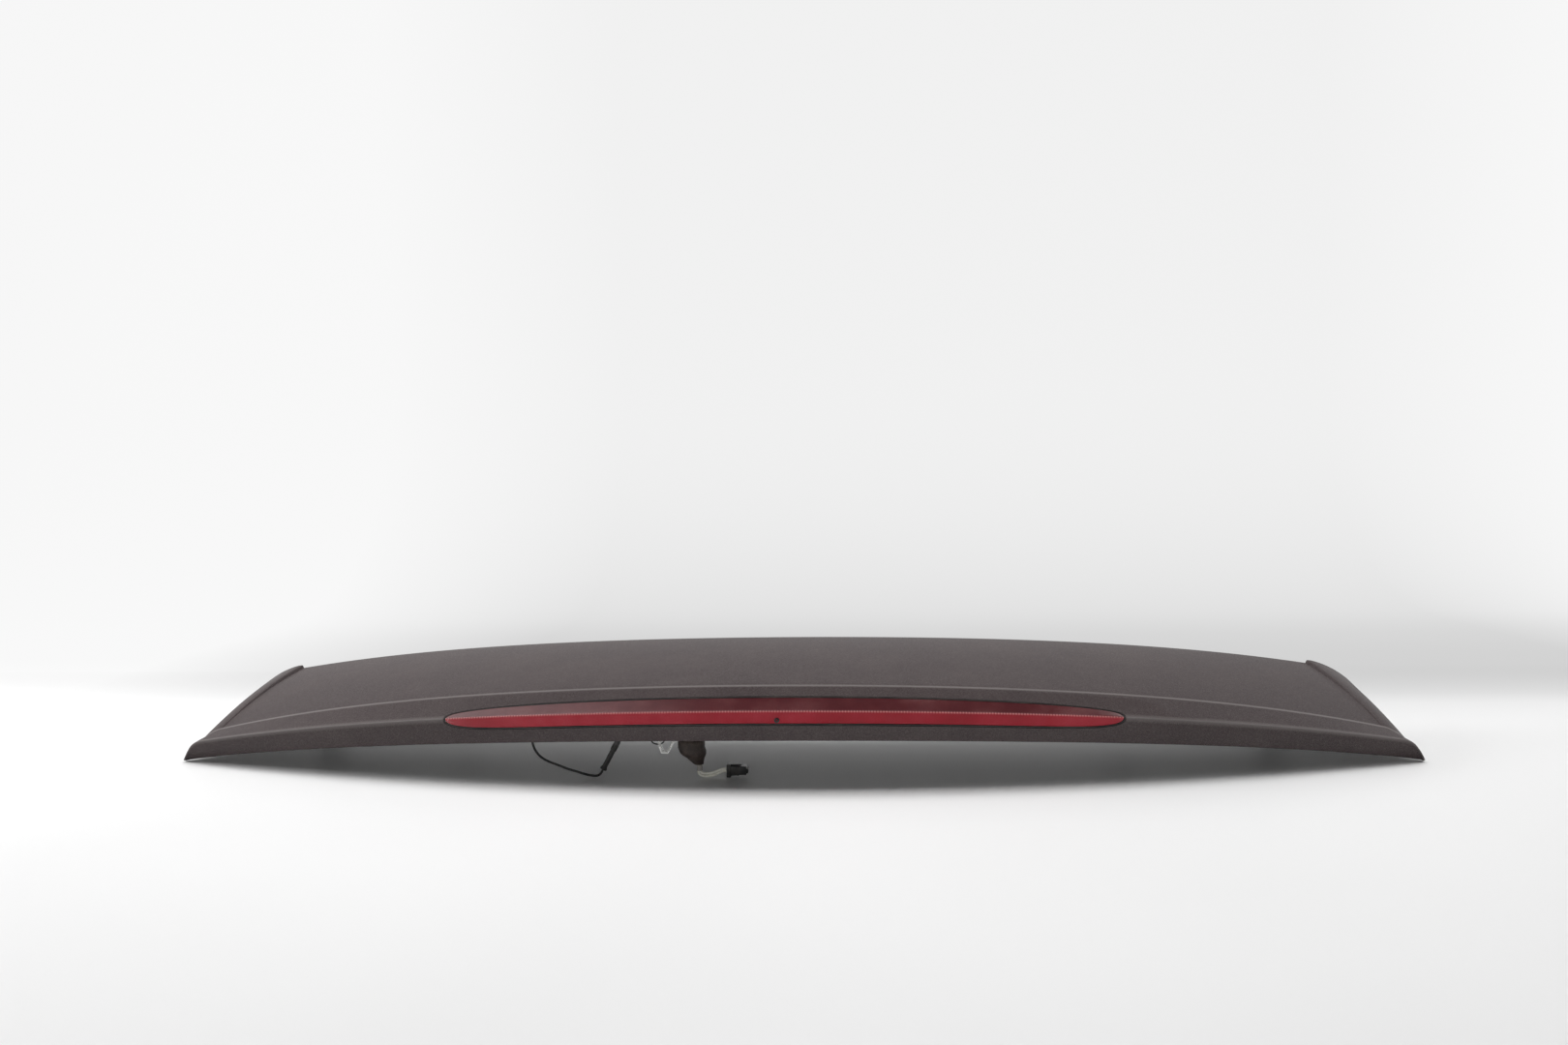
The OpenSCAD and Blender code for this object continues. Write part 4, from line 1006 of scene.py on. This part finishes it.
# %% Clear holder and strap loop
HOLDER_AT = (-105.0, 40.0)
TIE_AT, TIE_HALF, TIE_LOW, TIE_MID = (-115.2, 46.0), 6.9, 30.2, 36

top, half = PAD_Z - 0.2, 1.8
outer = [(-9, 0), (6.5, 0), (6.5, -12), (0.5, -23), (-6, -22.5), (-9, -14)]
inner = [(-6.5, -3), (4, -3), (4, -11.2), (-1, -20.5), (-4, -20.2), (-6.5, -13)]
rings = []
for a, b in zip([*outer, outer[0]], [*inner, inner[0]]):
    rings.append([
        (HOLDER_AT[0] + x, HOLDER_AT[1] + y, top + z)
        for (x, z), y in ((a, -half), (a, half), (b, half), (b, -half))
    ])
piece = ring_piece("clear_holder", rings, "clear_plastic", "harness_clip", 25, caps=False)
rounding = piece.modifiers.new("soft edges", "BEVEL")
rounding.width = 0.0005
rounding.segments = 3

# a flat band down one side, round the bottom and up again
down = [(-TIE_HALF, PAD_Z + 1.5), (-TIE_HALF, 40), (-TIE_HALF, 37)]
turn = [
    (-TIE_HALF * math.cos(a), TIE_MID - (TIE_MID - TIE_LOW) * math.sin(a))
    for a in np.linspace(0.1, math.pi - 0.1, 22)
]
path = np.array(down + turn + [(-x, z) for x, z in reversed(down)])
rings = []
for k, (x, z) in enumerate(path):
    run_x, run_z = heading(path, k)
    ring = []
    for a in circle(20):
        off, wide = 0.62 * math.cos(a), 1.05 * math.sin(a)
        ring.append((TIE_AT[0] + x - off * run_z, TIE_AT[1] + wide, z + off * run_x))
    rings.append(ring)
ring_piece("strap_loop", rings, "rubber", "clip_tie")

# %% [markdown]
# The studs have a real rolled thread. A spiral row of ridge and root points makes
# it; a bump map would be lost in the silhouette.

# %% Threaded studs
STUD_R, STUD_FREE, PITCH, THREAD_DEEP = 3.0, 20.0, 1.25, 0.62
STUD_BACK, BOSS_R, PAD_FLOOR, PAD_WALL, RING_T = 46.0, 13.0, 3.0, 2.2, 4.0
STUDS = [
    (side * x, guide(FRONT, x)[1] - STUD_BACK, z)
    for side in (-1, 1) for x, z in ((180.0, 62.0), (345.0, 46.0), (500.0, 20.0))
]


def threaded_stud(at):
    """Head, plain neck, thread and rounded end of one stud."""
    around, levels = 28, int((STUD_FREE - 2.5) / PITCH * 4)
    head, top = BOSS_R - PAD_WALL - 2, PAD_FLOOR + 3
    profile = [(0.02, top), (head, top), (head, PAD_FLOOR), (STUD_R, PAD_FLOOR), (STUD_R, -1.0)]
    rings = turned(profile, at, around)
    for k in range(levels + 1):
        fade = min(1.0, k / 3, (levels - k) / 3)
        ring = []
        for s in range(around):
            wave = (k / 4 + s / around) % 1.0
            r = STUD_R - THREAD_DEEP * fade * (1 - abs(2 * wave - 1)) ** 0.8
            a = 2 * math.pi * s / around
            x, y = r * math.cos(a), r * math.sin(a)
            ring.append((at[0] + x, at[1] + y, at[2] - 1.2 - k * PITCH / 4))
        rings.append(ring)
    end = [(STUD_R - 0.3, -STUD_FREE + 0.5), (STUD_R - 0.9, -STUD_FREE)]
    return rings_to_mesh(rings + turned(end, at, around))


stud_mesh = joined(threaded_stud(at) for at in STUDS)
new_piece("threaded_studs", *stud_mesh, "zinc_steel", ["mounting_studs"], 35)

# %% [markdown]
# Foam rings and strips are soft, so their faces belly out a little and their
# edges are round. Each kind is one piece made of several closed meshes.

# %% Foam and front strip
def foam_ring(at):
    r0, r1, low = STUD_R + 0.3, BOSS_R - 1, -RING_T
    profile = [
        (r0, -0.2), (r0 + 0.4, 0.0), (r1 - 0.7, 0.0), (r1 - 0.1, -0.6), (r1 + 0.15, low / 2),
        (r1 - 0.1, low + 0.6), (r1 - 0.7, low), (r0 + 0.4, low), (r0, low + 0.2), (r0, -0.2),
    ]
    return rings_to_mesh(turned(profile, at, 48), caps=False)


ring_mesh = joined(foam_ring(at) for at in STUDS)
new_piece("foam_rings", *ring_mesh, "foam", ["stud_rings"], 60)

LOWER_FRONT_X, LEDGE_IN, BOX_H = RIB_FRONT_X - 10, 14.0, 24.0
LEDGE_W = STUD_BACK + BOSS_R + 4 - LEDGE_IN

# rubber bulb strip under the ledge
bulb = [
    (11, 0.35), (11, 5.6), (10.4, 6.6), (9, 7.0), (5, 7.0), (3.6, 6.6), (3, 5.6), (3, 0.9),
    (3.8, 0.35), (10.2, 0.3),
]
drop = [(0, LEDGE_IN + back, BOX_H - 2 + back * 2 / LEDGE_W + up) for back, up in bulb]
edge = [guide(FRONT, w * LOWER_FRONT_X) for w in np.linspace(-0.96, 0.96, 120)]
strip_rings = [[f - np.array(d) for d in drop] for f in edge]
ring_piece("front_strip", strip_rings, "rubber", "front_seal", 60)


def cheek_foam(side):
    """Foam strip inside the lower edge of one cheek."""
    shares = [0.7, 0.76, 0.82, 0.88, 0.93][::side]
    along = np.linspace(0.04, 0.72, 40)
    grid = np.array([[cheek_point(side, a, e) for a in along] for e in shares])
    normals = grid_normals(grid)
    swell = np.array([0, 0.35, 0.5, 0.35, 0])[:, None, None]
    near = grid + (SKIN_T + 2 * FIT_GAP) * normals
    return closed_wall(near, grid + (SKIN_T + 3.4 + swell) * normals)


foam_mesh = joined(cheek_foam(side) for side in (-1, 1))
new_piece("cheek_foam", *foam_mesh, "foam", ["cheek_seals"], 60)

# %% [markdown]
# The moulded parts that the model already has in full keep their shape and get
# the finish of their slot.

# %% Finishes of the carried-over parts
KEPT_PARTS = {
    "lower_shell": "inner_plastic", "lamp_housing": "inner_plastic",
    "lamp_reflector": "reflector", "led_board": "board", "leds": "diode",
    "lamp_socket": "black_plastic", "lamp_brackets": "black_plastic",
    "lamp_screws": "zinc_steel", "trim_clips": "clip_plastic",
    "plug_terminals": "contact_brass", "inner_lead": "rubber",
}
for name, slot in KEPT_PARTS.items():
    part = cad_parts[name]
    part.data.materials.clear()
    part.data.materials.append(MATERIALS[slot])
print("carried over:", sorted(KEPT_PARTS))

# %% [markdown]
# The table and the wall behind it are one white sweep, so no hard line shows
# behind the part. Near the part its colour stays under white in the light;
# behind the part it falls to a dark grey, a painted shade that also darkens
# the shade under the part. The rays that the camera and the gloss see are
# lifted to bright paper, with a band of painted shade, a grey, behind the
# part. From below it is clear, so that a view from there shows the part.

# %% Table and backdrop
# the tones after the paper white are painted shade: grey behind the part
PAPER, PAINTED_SHADE_TONES = grey(0.97), [(0.0, 0.97), (0.2, 0.85), (0.3, 0.62), (0.55, 0.7), (1.0, 0.97)]

tree, shader = new_material("white sweep", {"Roughness": 0.55, "Metallic": 0.0})
place = add(tree, "TexCoord").outputs["Object"]
across, depth = axis(tree, place, 0), axis(tree, place, 1)
near = ramp(tree, noise(tree, place, 1.3), [(0.3, grey(0.8)), (0.7, grey(0.86))])
# painted shade: the floor's own colour falls to dark grey behind the part
wall = blend(tree, span(tree, depth, 0.25, 0.6), near, grey(0.25))
feed(tree, shader, {"Base Color": wall})
# painted shade: the paper that the camera and the gloss see turns grey behind the part
painted_shade = ramp(tree, span(tree, depth, -0.3, 1.7), [(at, grey(tone)) for at, tone in PAINTED_SHADE_TONES])
aside = larger(tree, span(tree, across, -0.45, -1.0), span(tree, across, 1.1, 1.6))
paper = add(tree, "Emission", {"Color": blend(tree, aside, painted_shade, PAPER)})
path = add(tree, "LightPath").outputs
seen = larger(tree, path["Is Glossy Ray"], path["Is Transmission Ray"])
seen = larger(tree, path["Is Camera Ray"], seen)
reach = add(tree, "VectorMath", {0: place}, operation="LENGTH").outputs["Value"]
behind = span(tree, depth, 0.14, 0.5, 0.0, 0.95)
beyond = span(tree, reach, 0.8, 1.7, 0.0, 0.95)
far = maths(tree, "MULTIPLY", seen, larger(tree, behind, beyond))
mixed = add(tree, "MixShader", {0: far, 1: shader.outputs[0], 2: paper.outputs[0]})
below = add(tree, "NewGeometry").outputs["Backfacing"]
clear = add(tree, "BsdfTransparent")
sheet = add(tree, "MixShader", {0: below, 1: mixed.outputs[0], 2: clear.outputs[0]})
feed(tree, tree.nodes["Material Output"], {0: sheet.outputs[0]})

wide, front, back, radius, tall = 6.0, -3.5, 1.0, 0.5, 3.0
line = [(front, 0.0), (back, 0.0)]
for a in np.linspace(0.1, math.pi / 2, 14):
    line.append((back + radius * math.sin(a), radius - radius * math.cos(a)))
line.append((back + radius, tall))
points = [(x, y, z) for y, z in line for x in (-wide, wide)]
faces = [(2 * k, 2 * k + 1, 2 * k + 3, 2 * k + 2) for k in range(len(line) - 1)]
mesh = bpy.data.meshes.new("sweep")
mesh.from_pydata(points, [], faces)
mesh.shade_smooth()
made = new_object("sweep", mesh)
made.location.z = -0.0004
made.data.materials.append(MATERIALS["white sweep"])

# %% [markdown]
# The light is soft: one wide panel overhead, a weaker one from the camera's side
# and a pale sky. Two panels at the sides lift the cheeks, the left one more, as
# in the photograph.

# %% Light
def panel(name, at, look, size, power):
    data = bpy.data.lights.new(name, "AREA")
    data.shape = "RECTANGLE"
    data.size, data.size_y = size
    data.energy = power
    made = new_object(name, data)
    made.location = at
    made.rotation_mode = "QUATERNION"
    made.rotation_quaternion = (Vector(look) - Vector(at)).to_track_quat("-Z", "Y")
    made.visible_glossy = made.visible_transmission = False


# name, place, aim, width and height, watts
panel("overhead", (0.0, 0.25, 2.0), (0, 0.1, 0), (2.6, 1.1), 41)
panel("low front", (0.1, -2.2, 0.4), (0, 0, 0.05), (1.8, 0.4), 8)
panel("left side", (-2.0, 0.3, 0.9), (-0.5, 0, 0.08), (0.9, 0.9), 28)
panel("right side", (2.0, 0.3, 0.9), (0.5, 0, 0.08), (0.9, 0.9), 10)

# a dim sky for matt surfaces whose two sides show bright in gloss
world = bpy.data.worlds.new("pale sky")
bpy.context.scene.world = world
world.use_nodes = True
tree = world.node_tree
across = axis(tree, add(tree, "TexCoord").outputs["Generated"], 0)
path = add(tree, "LightPath").outputs
left, right = span(tree, across, -0.15, -0.6), span(tree, across, 0.5, 0.9, 0.0, 0.6)
shine = maths(tree, "MULTIPLY", path["Is Glossy Ray"], larger(tree, left, right))
through = larger(tree, path["Is Camera Ray"], path["Is Transmission Ray"])
white = maths(tree, "MULTIPLY", through, 0.85)
strength = maths(tree, "ADD", larger(tree, shine, white), 0.06)
feed(tree, tree.nodes["Background"], {0: grey(1.0), 1: strength})
